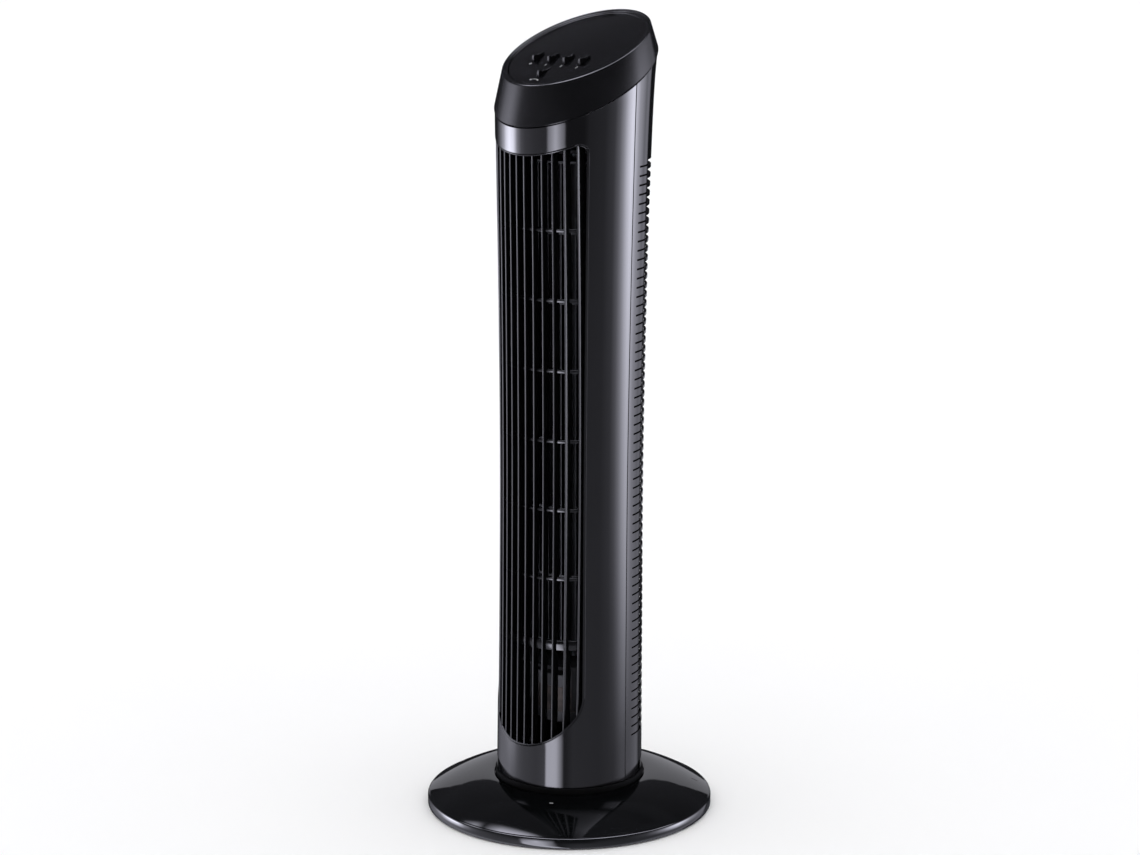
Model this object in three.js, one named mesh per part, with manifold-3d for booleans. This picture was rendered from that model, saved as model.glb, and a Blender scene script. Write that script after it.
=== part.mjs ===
// Oscillating tower fan. Millimetres, +Z up, origin under the middle of the base, front faces -Y.
import * as THREE from 'three';
import { mergeVertices } from 'three/addons/utils/BufferGeometryUtils.js';
import Module from 'manifold-3d';

const wasm = await Module();
wasm.setup();

// ---------- driving dimensions ----------
const GAP = 0.3;                       // clearance between touching pieces
const FOOT_PAD_HEIGHT = 1.5;           // rubber pads lift the base off the floor
const BASE_RADIUS = 137.5;
const BASE_RIM_TOP = 10.2;             // upright rim of the base
const BASE_DOME_RISE = 19.8;
const BASE_WALL = 2.4;
const NOTCH_TURN = THREE.MathUtils.degToRad(3);
const WELL_RADIUS = 72.4;              // round recess that the tower stands in
const WELL_FLOOR = 27;
const COLLAR_RADIUS = 71.6;
const COLLAR_TOP = 35.9;
const TOWER_FOOT = 36.4;
const SHELL_WALL = 2.5;
// waisted tower outline: height, radius, and how far the section's centre lies to the rear
const OUTLINE = [
  [36.5, 70.1, 0],
  [181.5, 69.1, 1.6],
  [341.5, 68.6, 2.8],
  [501.5, 70.1, 4.2],
  [621.5, 72.3, 5.4],
  [701.5, 74.4, 7.4],
  [751.5, 77.2, 10.3],
];
const SHELL_LEVELS = [TOWER_FOOT - 2, 180, 340, 480, 590, 670, 752];
const GRILLE_LEVELS = [60, 200, 360, 520, 680];
const REAR_LEVELS = [TOWER_FOOT - 2, 200, 400, 560, 640, 752];
const SPLIT_Y_AT_FLOOR = 3.2;          // the front and rear shells meet on this plane
const SPLIT_LEAN = 0.0105;
const SEAM_Z = 694.3;                  // slanted joint between tower and head, at y = 0
const SEAM_SLOPE = 0.506;
const RIM_RADIUS = 69.2;               // slanted top rim, round in plan
const RIM_Y = 9.75;
const RIM_Z = 729.8;
const RIM_TILT = THREE.MathUtils.degToRad(24.34);
const PANEL_DEPTH = 2.2;               // how far the panel lies under the rim
const PANEL_RADIUS = 63.1;
const OPENING_HALF_ANGLE = THREE.MathUtils.degToRad(54.6);
const OPENING_ARCH_Z = 125.3;          // where the straight sides turn into the bottom arch
const OPENING_ARCH_DROP = 52;
const OPENING_TOP_Z = 670.9;           // top edge's slanted plane, at y = 0
const OPENING_CORNER = 7;
const BLADE_COUNT = 12;
const BLADE_PITCH = 9.32;
const BLADE_THICKNESS = 1.9;
const GRILLE_DEPTH = 7;
const RIB_HEIGHTS = [568.2, 503.2, 437.3, 371, 305.3, 239.3];
const RIB_THICKNESS = 3;
const BAND_RIB = [170.3, 179.8];
const SLOT_COUNT = 64;
const SLOT_TOP_Z = 622.75;              // lower edge of the top slot
const SLOT_PITCH = 8.65;
const SLOT_TAIL_HEIGHT = 1.3;          // each slot starts as a thin tail, then opens to its full height
const SLOT_HEIGHT = 5.2;
const SLOT_START = 101;                // degrees round from the front
const SLOT_OPENS = 115;
const SLOT_END = 173;
const IMPELLER_Y = 8;
const IMPELLER_RADIUS = 40;
const IMPELLER_BOTTOM = 168;
const IMPELLER_TOP = 628;
const IMPELLER_BLADES = 18;
const IMPELLER_DISCS = 4;
const SWING_LIMIT = THREE.MathUtils.degToRad(35);
const CRANK_Y = 26;                    // swing motor's axis, behind the tower's axis
const CRANK_THROW = CRANK_Y * Math.tan(SWING_LIMIT);
const CRANK_PIN_RADIUS = 2.2;
const KEY_PITCH = 19.4;
const KEY_ROW_V = -22.7;               // up the panel's slope from its middle
const SWING_KEY_V = -47.5;
const KEY_OFFSET_X = -1.7;             // the key rows stand a little to the left of the middle
const KEY_WIDTH = 2.6;                 // upright fins, pressed from above
const SWITCH_TOP = -16;                // below the rim plane, along the panel's normal

// ---------- small helpers ----------
const rad = THREE.MathUtils.degToRad;

function signedVolume(position, index) {
  const a = new THREE.Vector3();
  const b = new THREE.Vector3();
  const c = new THREE.Vector3();
  let sum = 0;
  for (let i = 0; i < index.length; i += 3) {
    a.fromBufferAttribute(position, index[i]);
    b.fromBufferAttribute(position, index[i + 1]);
    c.fromBufferAttribute(position, index[i + 2]);
    sum += a.dot(b.cross(c));
  }
  return sum;
}

// one closed manifold body from any closed three.js geometry
function solid(geometry) {
  const bare = geometry.clone();
  bare.deleteAttribute('normal');
  bare.deleteAttribute('uv');
  const merged = mergeVertices(bare, 1e-4);
  const kept = [];
  const raw = merged.index.array;
  for (let i = 0; i < raw.length; i += 3) {
    const [a, b, c] = [raw[i], raw[i + 1], raw[i + 2]];
    if (a !== b && b !== c && a !== c) kept.push(a, b, c);
  }
  if (signedVolume(merged.attributes.position, kept) < 0) kept.reverse();
  const vertProperties = new Float32Array(merged.attributes.position.array);
  return new wasm.Manifold(new wasm.Mesh({ numProp: 3, vertProperties, triVerts: new Uint32Array(kept) }));
}

function geometryOf(body) {
  const mesh = body.getMesh();
  const geometry = new THREE.BufferGeometry();
  geometry.setAttribute('position', new THREE.BufferAttribute(mesh.vertProperties, 3));
  geometry.setIndex(new THREE.BufferAttribute(mesh.triVerts, 1));
  geometry.computeVertexNormals();
  return geometry;
}

// pieces are passed about as geometries; joins and cuts turn them into bodies
const bodyOf = (piece) => (piece.isBufferGeometry ? solid(piece) : piece);
const join = (...pieces) => pieces.map(bodyOf).reduce((all, body) => all.add(body));
const cut = (piece, ...tools) => tools.map(bodyOf).reduce((left, tool) => left.subtract(tool), bodyOf(piece));
const common = (...pieces) => pieces.map(bodyOf).reduce((all, body) => all.intersect(body));

// body of revolution about Z; profile is [radius, z] pairs
function turned(profile, segments = 32, x = 0, y = 0) {
  const points = profile.map(([r, z]) => new THREE.Vector2(r, z));
  return new THREE.LatheGeometry(points, segments).rotateX(Math.PI / 2).translate(x, y, 0);
}

const disc = (r, z0, z1, segments = 32, x = 0, y = 0) =>
  turned([[0, z0], [r, z0], [r, z1], [0, z1]], segments, x, y);

const tube = (rIn, rOut, z0, z1, segments = 32, x = 0, y = 0) =>
  turned([[rIn, z0], [rOut, z0], [rOut, z1], [rIn, z1], [rIn, z0]], segments, x, y);

function block(x0, x1, y0, y1, z0, z1) {
  const geometry = new THREE.BoxGeometry(x1 - x0, y1 - y0, z1 - z0);
  return geometry.translate((x0 + x1) / 2, (y0 + y1) / 2, (z0 + z1) / 2);
}

const shapeOf = (points) => new THREE.Shape(points.map(([a, b]) => new THREE.Vector2(a, b)));

// outline in XY, pulled up along Z
function prismZ(points, z0, z1) {
  const geometry = new THREE.ExtrudeGeometry(shapeOf(points), { depth: z1 - z0, bevelEnabled: false });
  return geometry.translate(0, 0, z0);
}

// outline in XZ, pulled along Y
function prismY(points, y0, y1) {
  const geometry = new THREE.ExtrudeGeometry(shapeOf(points), { depth: y1 - y0, bevelEnabled: false });
  return geometry.rotateX(Math.PI / 2).translate(0, y1, 0);
}

// outline in YZ, pulled along X
function prismX(points, x0, x1) {
  const geometry = new THREE.ExtrudeGeometry(shapeOf(points), { depth: x1 - x0, bevelEnabled: false });
  return geometry.rotateX(Math.PI / 2).rotateZ(Math.PI / 2).translate(x0, 0, 0);
}

// skin through closed rings of points; the last ring joins the first, or both ends are capped
function loft(rings, capped = false) {
  const count = rings[0].length;
  const position = rings.flat().flatMap((p) => [p.x, p.y, p.z]);
  const index = [];
  const steps = capped ? rings.length - 1 : rings.length;
  for (let i = 0; i < steps; i += 1) {
    const next = (i + 1) % rings.length;
    for (let j = 0; j < count; j += 1) {
      const k = (j + 1) % count;
      const [a, b, c, d] = [i * count + j, i * count + k, next * count + k, next * count + j];
      index.push(a, b, c, a, c, d);
    }
  }
  if (capped) {
    const last = (rings.length - 1) * count;
    for (let j = 1; j < count - 1; j += 1) {
      index.push(0, j + 1, j);
      index.push(last, last + j, last + j + 1);
    }
  }
  const geometry = new THREE.BufferGeometry();
  geometry.setAttribute('position', new THREE.Float32BufferAttribute(position, 3));
  geometry.setIndex(index);
  return geometry;
}

// ---------- the tower's outline ----------
const outlineAt = new THREE.CubicInterpolant(
  OUTLINE.map(([z]) => z),
  OUTLINE.flatMap(([, radius, rear]) => [radius, rear]),
  2,
  new Float64Array(2),
);

function outline(z) {
  const [radius, centreY] = outlineAt.evaluate(z);
  return { radius, centreY };
}

// angle 0 is the front (-Y), +90 degrees is +X
function outlinePoint(angle, z, offset) {
  const { radius, centreY } = outline(z);
  const r = radius + offset;
  return new THREE.Vector3(r * Math.sin(angle), centreY - r * Math.cos(angle), z);
}

const evenAngles = (step) => Array.from({ length: 360 / step }, (_, i) => rad(-180 + i * step));

// a wall that follows the outline, between two offsets from it
function outlineWall(outer, inner, angles, levels = SHELL_LEVELS) {
  const rings = levels.map((z) => angles.map((a) => outlinePoint(a, z, outer)));
  const inside = [...levels].reverse().map((z) => angles.map((a) => outlinePoint(a, z, inner)));
  return loft([...rings, ...inside]);
}

const splitY = (z) => SPLIT_Y_AT_FLOOR + SPLIT_LEAN * z;
const seamZ = (y) => SEAM_Z + SEAM_SLOPE * y;

// everything in front of (side -1) or behind (side +1) the split, above the foot, below the seam
function shellRegion(side) {
  const far = side * 120;
  const near = (z) => splitY(z) + (side * GAP) / 2;
  const top = (SEAM_Z + SEAM_SLOPE * SPLIT_Y_AT_FLOOR) / (1 - SEAM_SLOPE * SPLIT_LEAN);
  const points = [
    [far, TOWER_FOOT],
    [near(TOWER_FOOT), TOWER_FOOT],
    [near(top), seamZ(near(top))],
    [far, seamZ(far)],
  ];
  return prismX(points, -120, 120);
}

// ---------- materials ----------
function finish(color, roughness, metalness = 0) {
  return new THREE.MeshStandardMaterial({ color, roughness, metalness });
}
const glossBlack = () => finish('#17171b', 0.12);
const satinBlack = () => finish('#1b1b1f', 0.35);
const matteBlack = () => finish('#1c1c1e', 0.7);
const greyPlastic = () => finish('#8e8f92', 0.5);
const whitePlastic = () => finish('#dddcd6', 0.5);
const rubber = () => finish('#202020', 0.9);
const steel = () => finish('#a9abad', 0.35, 1);
const laminations = () => finish('#6f7276', 0.55, 1);
const copper = () => finish('#a9592b', 0.4, 1);
const bronze = () => finish('#9c7b45', 0.4, 1);
const zinc = () => finish('#b7babd', 0.45, 1);

const fan = new THREE.Group();

function place(name, body, material, parent = fan) {
  const mesh = new THREE.Mesh(geometryOf(bodyOf(body)), material);
  mesh.name = name;
  parent.add(mesh);
  return mesh;
}

// ---------- base ----------
const domeZ = (r) => {
  const inward = (r - COLLAR_RADIUS) / (BASE_RADIUS - COLLAR_RADIUS - 2.5);
  return BASE_RIM_TOP + 1.6 + BASE_DOME_RISE * (1 - Math.max(inward, 0) ** 1.9);
};

function baseCover() {
  const domeRadii = [131, 121, 108, 92, WELL_RADIUS + 0.6];
  const underRadii = [75.4, 108];
  const profile = [
    [BASE_RADIUS, FOOT_PAD_HEIGHT],
    [BASE_RADIUS, BASE_RIM_TOP - 0.6],
    [BASE_RADIUS - 0.7, BASE_RIM_TOP + 0.7],
    [BASE_RADIUS - 2.3, BASE_RIM_TOP + 1.5],
    ...domeRadii.map((r) => [r, domeZ(r)]),
    [WELL_RADIUS, domeZ(WELL_RADIUS) - 0.6],
    [WELL_RADIUS, WELL_FLOOR],
    [12.6, WELL_FLOOR],
    [12.6, WELL_FLOOR - BASE_WALL],
    ...underRadii.map((r) => [r, Math.min(domeZ(r) - BASE_WALL - 0.5, WELL_FLOOR - BASE_WALL + 2)]),
    [BASE_RADIUS - BASE_WALL, BASE_RIM_TOP - 2],
    [BASE_RADIUS - BASE_WALL, FOOT_PAD_HEIGHT],
    [BASE_RADIUS, FOOT_PAD_HEIGHT],
  ];
  // notch at the base's left, over the supply cord's gland
  const notch = block(-99.4, -79, -23, -13, WELL_FLOOR - 9, 60).rotateZ(NOTCH_TURN);
  return cut(turned(profile, 48), notch);
}

// clamp block that stands on the base plate under the notch, bored for the cord
function cordGland() {
  const body = block(-98.6, -79.8, -22.4, -13.6, 4.5, 23.4).rotateZ(NOTCH_TURN);
  const bore = new THREE.CylinderGeometry(3.4, 3.4, 30, 12).rotateZ(Math.PI / 2).translate(-89, -18, 17);
  return cut(body, bore.rotateZ(NOTCH_TURN));
}

function basePlate() {
  const plate = turned([
    [9, FOOT_PAD_HEIGHT + GAP],
    [BASE_RADIUS - BASE_WALL - GAP, FOOT_PAD_HEIGHT + GAP],
    [BASE_RADIUS - BASE_WALL - GAP, 4.2],
    [62, 4.2],
    [62, WELL_FLOOR - BASE_WALL - GAP],
    [59, WELL_FLOOR - BASE_WALL - GAP],
    [59, 4.2],
    [9, 4.2],
    [9, FOOT_PAD_HEIGHT + GAP],
  ], 40);
  const cordWay = block(-62.6, -58.4, -23, -13, 4.2, 30);
  return cut(plate, cordWay);
}

place('base_cover', baseCover(), glossBlack());
place('base_plate', basePlate(), matteBlack());
place('cord_gland', cordGland(), matteBlack());

const FOOT_CIRCLE = 118;
for (let i = 0; i < 5; i += 1) {
  const angle = rad(90 + 72 * i);
  const pad = disc(11, 0, FOOT_PAD_HEIGHT, 24, FOOT_CIRCLE * Math.cos(angle), FOOT_CIRCLE * Math.sin(angle));
  place(`foot_pad_${i + 1}`, pad, rubber());
}

const collar = turned([
  [52, WELL_FLOOR + GAP],
  [COLLAR_RADIUS, WELL_FLOOR + GAP],
  [COLLAR_RADIUS, COLLAR_TOP],
  [67.9, COLLAR_TOP],
  [67.9, 33],
  [52, 33],
  [52, WELL_FLOOR + GAP],
], 48);
place('collar_ring', collar, matteBlack());
place('slide_washer', tube(53, 65, 33.3, 36.5, 24), whitePlastic());

// the link plate's slot runs outward behind the tower's axis, and the crank pin slides along it
function linkPlate() {
  const half = 8;
  const plate = prismZ([[-half, 22], [half, 22], [half, 50], [-half, 50]], WELL_FLOOR + GAP, 29.9);
  const slot = block(-CRANK_PIN_RADIUS - 1.4, CRANK_PIN_RADIUS + 1.4, 26, 47.5, 20, 40);
  return cut(plate, slot);
}
place('swing_link_plate', linkPlate(), zinc());

// ---------- tower floor, pivot and swing drive ----------
const FLOOR_BOTTOM = 36.9;
const FLOOR_TOP = 39.4;

function towerFloor() {
  const plate = turned([
    [8, 16],
    [12, 16],
    [12, FLOOR_BOTTOM],
    [64.2, FLOOR_BOTTOM],
    [64.2, FLOOR_TOP],
    [8, FLOOR_TOP],
    [8, 16],
  ], 36);
  const shaftHole = disc(4, 30, 45, 16, 0, CRANK_Y);
  return cut(plate, shaftHole);
}
place('tower_floor', towerFloor(), matteBlack());
place('pivot_retainer', tube(12.4, 19, 20.6, 23.8, 20), steel());
place('swing_motor', disc(24, FLOOR_TOP + GAP, 57, 28, 0, CRANK_Y), zinc());

function swingCrank() {
  const pinY = CRANK_Y + CRANK_THROW;
  const arm = block(-3.6, 3.6, CRANK_Y - 4, pinY + 3.4, 31, 34.4);
  const shaft = disc(3.2, 31, FLOOR_TOP, 16, 0, CRANK_Y);
  const pin = disc(CRANK_PIN_RADIUS, WELL_FLOOR + 0.8, 31.5, 16, 0, pinY);
  return join(arm, shaft, pin);
}
place('swing_crank', swingCrank(), zinc());

// ---------- tower shells ----------
function openingOutline(inset) {
  const sideX = (z) => outline(z).radius * Math.sin(OPENING_HALF_ANGLE) - inset;
  const topZ = (x) => {
    const { radius, centreY } = outline(640);
    const y = centreY - Math.sqrt(radius ** 2 - x ** 2);
    return OPENING_TOP_Z + SEAM_SLOPE * y - inset;
  };
  const right = [];
  const archX = sideX(OPENING_ARCH_Z);
  for (let a = 0; a < 90; a += 10) {
    right.push([archX * Math.sin(rad(a)), OPENING_ARCH_Z - (OPENING_ARCH_DROP - inset) * Math.cos(rad(a))]);
  }
  for (const z of [OPENING_ARCH_Z, 220, 330, 440, 540]) right.push([sideX(z), z]);
  const corner = Math.max(OPENING_CORNER - inset, 2);
  const cornerX = sideX(632) - corner;
  const cornerZ = topZ(cornerX) - corner;
  for (let a = 0; a <= 90; a += 30) {
    right.push([cornerX + corner * Math.cos(rad(a)), cornerZ + corner * Math.sin(rad(a))]);
  }
  for (const x of [40, 28, 15]) right.push([x, topZ(x)]);
  const left = right.slice(1).reverse().map(([x, z]) => [-x, z]);
  return [...right, [0, topZ(0)], ...left];
}

function frontShell() {
  const wall = common(outlineWall(0, -SHELL_WALL, evenAngles(7.5)), shellRegion(-1));
  return cut(wall, prismY(openingOutline(0), -120, -20));
}

// an upright plate whose front and rear edges follow the tower's outline at its place across the front
function grilleBlade(x) {
  const edge = (z, offset) => {
    const { radius, centreY } = outline(z);
    return [centreY - Math.sqrt((radius + offset) ** 2 - x ** 2), z];
  };
  const front = GRILLE_LEVELS.map((z) => edge(z, -0.9));
  const rear = [...GRILLE_LEVELS].reverse().map((z) => edge(z, -0.9 - GRILLE_DEPTH));
  return prismX([...front, ...rear], x - BLADE_THICKNESS / 2, x + BLADE_THICKNESS / 2);
}

function frontGrille() {
  const angles = evenAngles(10);
  const field = prismY(openingOutline(GAP), -120, -20);
  const border = cut(field, prismY(openingOutline(2), -120, -20));
  const blades = [];
  for (let i = 0; i < BLADE_COUNT; i += 1) {
    blades.push(grilleBlade((i - (BLADE_COUNT - 1) / 2) * BLADE_PITCH));
  }
  const grid = common(join(...blades), field);
  const bead = common(outlineWall(-0.3, -0.9 - GRILLE_DEPTH, angles, GRILLE_LEVELS), border);
  const bar = (bottom, top) => block(-80, 80, -120, -20, bottom, top);
  const bars = RIB_HEIGHTS.map((z) => bar(z - RIB_THICKNESS / 2, z + RIB_THICKNESS / 2));
  bars.push(bar(...BAND_RIB));
  const ribs = common(outlineWall(-5, -1.2 - GRILLE_DEPTH, angles, GRILLE_LEVELS), join(...bars), field);
  return join(grid, bead, ribs);
}

// 0 on the front side, then wide steps across the slotted back
function rearAngles() {
  const oneSide = [85, SLOT_START - 3, SLOT_OPENS, (SLOT_OPENS + SLOT_END) / 2, SLOT_END];
  const other = [...oneSide].reverse().map((a) => 360 - a);
  return [...oneSide, ...other, 300, 330, 0, 30, 60].map(rad);
}

function rearSlots() {
  const tools = [];
  const polar = (r, angle) => [r * Math.sin(rad(angle)), 4 - r * Math.cos(rad(angle))];
  const sector = (start, end, side) => [
    polar(40, side * start),
    polar(110, side * start),
    polar(160, (side * (start + end)) / 2),
    polar(110, side * end),
    polar(40, side * end),
  ];
  for (let i = 0; i < SLOT_COUNT; i += 1) {
    const z = SLOT_TOP_Z - i * SLOT_PITCH;
    for (const side of [1, -1]) {
      const tail = prismZ(sector(SLOT_START, SLOT_OPENS + 1, side), z, z + SLOT_TAIL_HEIGHT);
      const mouth = prismZ(sector(SLOT_OPENS, SLOT_END, side), z, z + SLOT_HEIGHT);
      tools.push(join(tail, mouth));
    }
  }
  return join(...tools);
}

function rearShell() {
  const wall = common(outlineWall(0, -SHELL_WALL, rearAngles(), REAR_LEVELS), shellRegion(1));
  return cut(wall, rearSlots());
}

place('front_shell', frontShell(), glossBlack());
place('front_grille', frontGrille(), satinBlack());
place('rear_shell', rearShell(), glossBlack());

// ---------- head ----------
// ring on the seam's slanted plane, lifted by rise, at an offset from the tower's outline
function seamRing(offset, rise, angles) {
  return angles.map((angle) => {
    let z = SEAM_Z;
    for (let pass = 0; pass < 20; pass += 1) z = (z + seamZ(outlinePoint(angle, z, offset).y) + rise) / 2;
    return outlinePoint(angle, z, offset);
  });
}

// ring round in plan on the slanted rim plane, dropped straight down
function rimRing(radius, drop, angles) {
  return angles.map((angle) => {
    const y = RIM_Y - radius * Math.cos(angle);
    return new THREE.Vector3(radius * Math.sin(angle), y, RIM_Z + Math.tan(RIM_TILT) * (y - RIM_Y) - drop);
  });
}

function headHousing() {
  const angles = evenAngles(7.5);
  return loft([
    seamRing(0.6, GAP, angles),
    rimRing(RIM_RADIUS, 1.2, angles),
    rimRing(RIM_RADIUS - 0.9, 0, angles),
    rimRing(RIM_RADIUS - 2.2, 0, angles),
    rimRing(RIM_RADIUS - 2.9, 1.4, angles),
    rimRing(PANEL_RADIUS + GAP, 1.7, angles),
    rimRing(PANEL_RADIUS + GAP, PANEL_DEPTH + 2.4, angles),
    rimRing(PANEL_RADIUS - 3, PANEL_DEPTH + 2.4, angles),
    rimRing(PANEL_RADIUS - 3, PANEL_DEPTH + 4.2, angles),
    rimRing(PANEL_RADIUS + 2.6, PANEL_DEPTH + 4.2, angles),
    seamRing(-1.6, GAP, angles),
  ]);
}
place('head_housing', headHousing(), satinBlack());

// everything on the panel shares one slanted frame: x across, y up the slope, z out of the panel
const panelFrame = new THREE.Group();
panelFrame.position.set(0, RIM_Y, RIM_Z);
panelFrame.rotation.x = RIM_TILT;
fan.add(panelFrame);
const PANEL_TOP = -PANEL_DEPTH * Math.cos(RIM_TILT);
const PANEL_THICKNESS = 1.8;

const KEY_FOOT = -PANEL_THICKNESS - GAP - 0.5;
// side views of the keys, (up the slope, above the panel): high at the front, dished, low at the rear
const SPEED_KEY_SIDE = [
  [-6.7, KEY_FOOT],
  [8.8, KEY_FOOT],
  [8.8, 2.4],
  [4, 2.8],
  [0.3, 3.8],
  [-3.2, 5.2],
  [-3.9, 5.5],
  [-4.4, 5.3],
  [-6.7, 0],
];
const SWING_KEY_SIDE = [
  [-8.1, KEY_FOOT],
  [10.5, KEY_FOOT],
  [10.5, 0.6],
  [6, 0.9],
  [2, 1.6],
  [-3, 3.4],
  [-4.6, 4.7],
  [-5.3, 5.1],
  [-5.8, 4.9],
  [-8.1, 0],
];

const KEYS = [
  ...[0, 1, 2, 3].map((i) => ({
    name: `key_speed_${i}`,
    x: (i - 1.5) * KEY_PITCH + KEY_OFFSET_X,
    v: KEY_ROW_V,
    side: SPEED_KEY_SIDE,
    front: -6.7,
    rear: 8.8,
  })),
  { name: 'key_swing', x: KEY_OFFSET_X, v: SWING_KEY_V, side: SWING_KEY_SIDE, front: -8.1, rear: 10.5 },
];

function controlPanel() {
  const angles = evenAngles(9);
  const faces = [PANEL_DEPTH, PANEL_DEPTH + 2].map((drop) => rimRing(PANEL_RADIUS, drop, angles));
  const plate = loft(faces, true);
  const half = KEY_WIDTH / 2 + 0.4;
  const opening = (key) => block(-half, half, key.front - 0.4, key.rear + 0.4, -10, 5);
  const hole = (key) => opening(key).translate(key.x, key.v, 0);
  return cut(plate, ...KEYS.map((key) => hole(key).applyMatrix4(panelFrame.matrix)));
}
panelFrame.updateMatrix();
place('control_panel', controlPanel(), matteBlack());

const FLANGE_TOP = PANEL_TOP - PANEL_THICKNESS - GAP;
const FLANGE_BOTTOM = FLANGE_TOP - 1.6;
const STEM_BOTTOM = SWITCH_TOP - 2;

// fin with softened edges, a retaining flange under the panel and a stem into the switch
function keyBody(key) {
  const soft = { bevelThickness: 0.25, bevelSize: 0.25, bevelOffset: -0.25, bevelSegments: 1 };
  const fin = new THREE.ExtrudeGeometry(shapeOf(key.side), { depth: KEY_WIDTH - 0.5, ...soft });
  const acrossX = new THREE.Matrix4().makeBasis(
    new THREE.Vector3(0, 1, 0),
    new THREE.Vector3(0, 0, 1),
    new THREE.Vector3(1, 0, 0),
  );
  fin.applyMatrix4(acrossX).translate(0.25 - KEY_WIDTH / 2, 0, PANEL_TOP);
  const flange = block(-4.2, 4.2, key.front - 1.2, key.rear + 1.2, FLANGE_BOTTOM, FLANGE_TOP);
  const stem = disc(2, STEM_BOTTOM, FLANGE_BOTTOM + 0.2, 8);
  return join(fin, flange, stem);
}

class HelixCurve extends THREE.Curve {
  constructor(radius, bottom, top, turns) {
    super();
    Object.assign(this, { radius, bottom, top, turns });
  }

  getPoint(t, target = new THREE.Vector3()) {
    const a = t * this.turns * 2 * Math.PI;
    const z = THREE.MathUtils.lerp(this.bottom, this.top, t);
    return target.set(this.radius * Math.cos(a), this.radius * Math.sin(a), z);
  }
}

function keySpring() {
  const wire = 0.35;
  const path = new HelixCurve(3.1, SWITCH_TOP + GAP + wire, FLANGE_BOTTOM - GAP - wire, 3);
  const section = shapeOf([[wire, 0], [0, wire], [-wire, 0], [0, -wire]]);
  return new THREE.ExtrudeGeometry(section, { steps: 16, bevelEnabled: false, extrudePath: path });
}

for (const key of KEYS) {
  const mesh = place(key.name, keyBody(key), satinBlack(), panelFrame);
  mesh.position.set(key.x, key.v, 0);
  const spring = place(`${key.name}_spring`, keySpring(), steel(), panelFrame);
  spring.position.set(key.x, key.v, 0);
}

const SWITCH_HEIGHT = 17;

function switchBody(halfWidth, halfDepth, stemXs) {
  const body = block(-halfWidth, halfWidth, -halfDepth, halfDepth, SWITCH_TOP - SWITCH_HEIGHT, SWITCH_TOP);
  const wells = stemXs.map((x) => disc(2.6, SWITCH_TOP - 8, SWITCH_TOP + 1, 8, x, 0));
  return cut(body, ...wells);
}
const speedXs = [0, 1, 2, 3].map((i) => (i - 1.5) * KEY_PITCH);
const speedSwitch = place('speed_switch', switchBody(38, 9, speedXs), whitePlastic(), panelFrame);
speedSwitch.position.set(KEY_OFFSET_X, KEY_ROW_V, 0);
const swingSwitch = place('swing_switch', switchBody(9, 8, [0]), whitePlastic(), panelFrame);
swingSwitch.position.set(KEY_OFFSET_X, SWING_KEY_V, 0);

// ---------- fan motor ----------
const MOTOR_BOTTOM = 84;
const MOTOR_TOP = 142;
const STACK = [100, 124];
const MOTOR_RADIUS = 39;
const onAxis = (profile, segments = 20) => turned(profile, segments, 0, IMPELLER_Y);

place('motor_lower_cap', onAxis([
  [8.3, MOTOR_BOTTOM],
  [30, MOTOR_BOTTOM],
  [MOTOR_RADIUS, MOTOR_BOTTOM + 6],
  [MOTOR_RADIUS, STACK[0] - GAP],
  [MOTOR_RADIUS - 2.5, STACK[0] - GAP],
  [MOTOR_RADIUS - 2.5, MOTOR_BOTTOM + 7],
  [29, MOTOR_BOTTOM + 2.5],
  [8.3, MOTOR_BOTTOM + 2.5],
  [8.3, MOTOR_BOTTOM],
]), zinc());
place('motor_upper_cap', onAxis([
  [8.3, MOTOR_TOP],
  [30, MOTOR_TOP],
  [MOTOR_RADIUS, MOTOR_TOP - 6],
  [MOTOR_RADIUS, STACK[1] + GAP],
  [MOTOR_RADIUS - 2.5, STACK[1] + GAP],
  [MOTOR_RADIUS - 2.5, MOTOR_TOP - 7],
  [29, MOTOR_TOP - 2.5],
  [8.3, MOTOR_TOP - 2.5],
  [8.3, MOTOR_TOP],
]), zinc());
place('motor_stator', tube(21, MOTOR_RADIUS, STACK[0], STACK[1], 20, 0, IMPELLER_Y), laminations());
place('motor_winding', tube(24, 34, STACK[1] + GAP, STACK[1] + 9, 18, 0, IMPELLER_Y), copper());
place('motor_rotor', tube(4.3, 20.4, STACK[0] - 1, STACK[1] + 1, 16, 0, IMPELLER_Y), laminations());
place('motor_shaft', disc(4, MOTOR_BOTTOM - 2, 176, 12, 0, IMPELLER_Y), steel());
place('motor_lower_bush', tube(4.3, 8, MOTOR_BOTTOM - 1, MOTOR_BOTTOM + 7, 12, 0, IMPELLER_Y), bronze());
place('motor_upper_bush', tube(4.3, 8, MOTOR_TOP - 7, MOTOR_TOP + 1, 12, 0, IMPELLER_Y), bronze());

// a plate across the tower with ears towards the shells
function crossPlate(z0, z1, hole) {
  const plate = disc(53, z0, z1, 40, 0, IMPELLER_Y);
  const ears = [block(-64, -45, -6, 8, z0, z1), block(-9, 9, 45, 64, z0, z1), block(44, 62, -12, 4, z0, z1)];
  return cut(join(plate, ...ears), disc(hole, z0 - 1, z1 + 1, 28, 0, IMPELLER_Y));
}

function motorBracket() {
  const legs = [45, 135, 225, 315].map((angle) => {
    const leg = block(MOTOR_RADIUS + GAP + 0.3, MOTOR_RADIUS + 7, -5, 5, 104, 147);
    return leg.rotateZ(rad(angle)).translate(0, IMPELLER_Y, 0);
  });
  return join(crossPlate(146, 149, 14), ...legs);
}
place('motor_bracket', motorBracket(), matteBlack());

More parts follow.
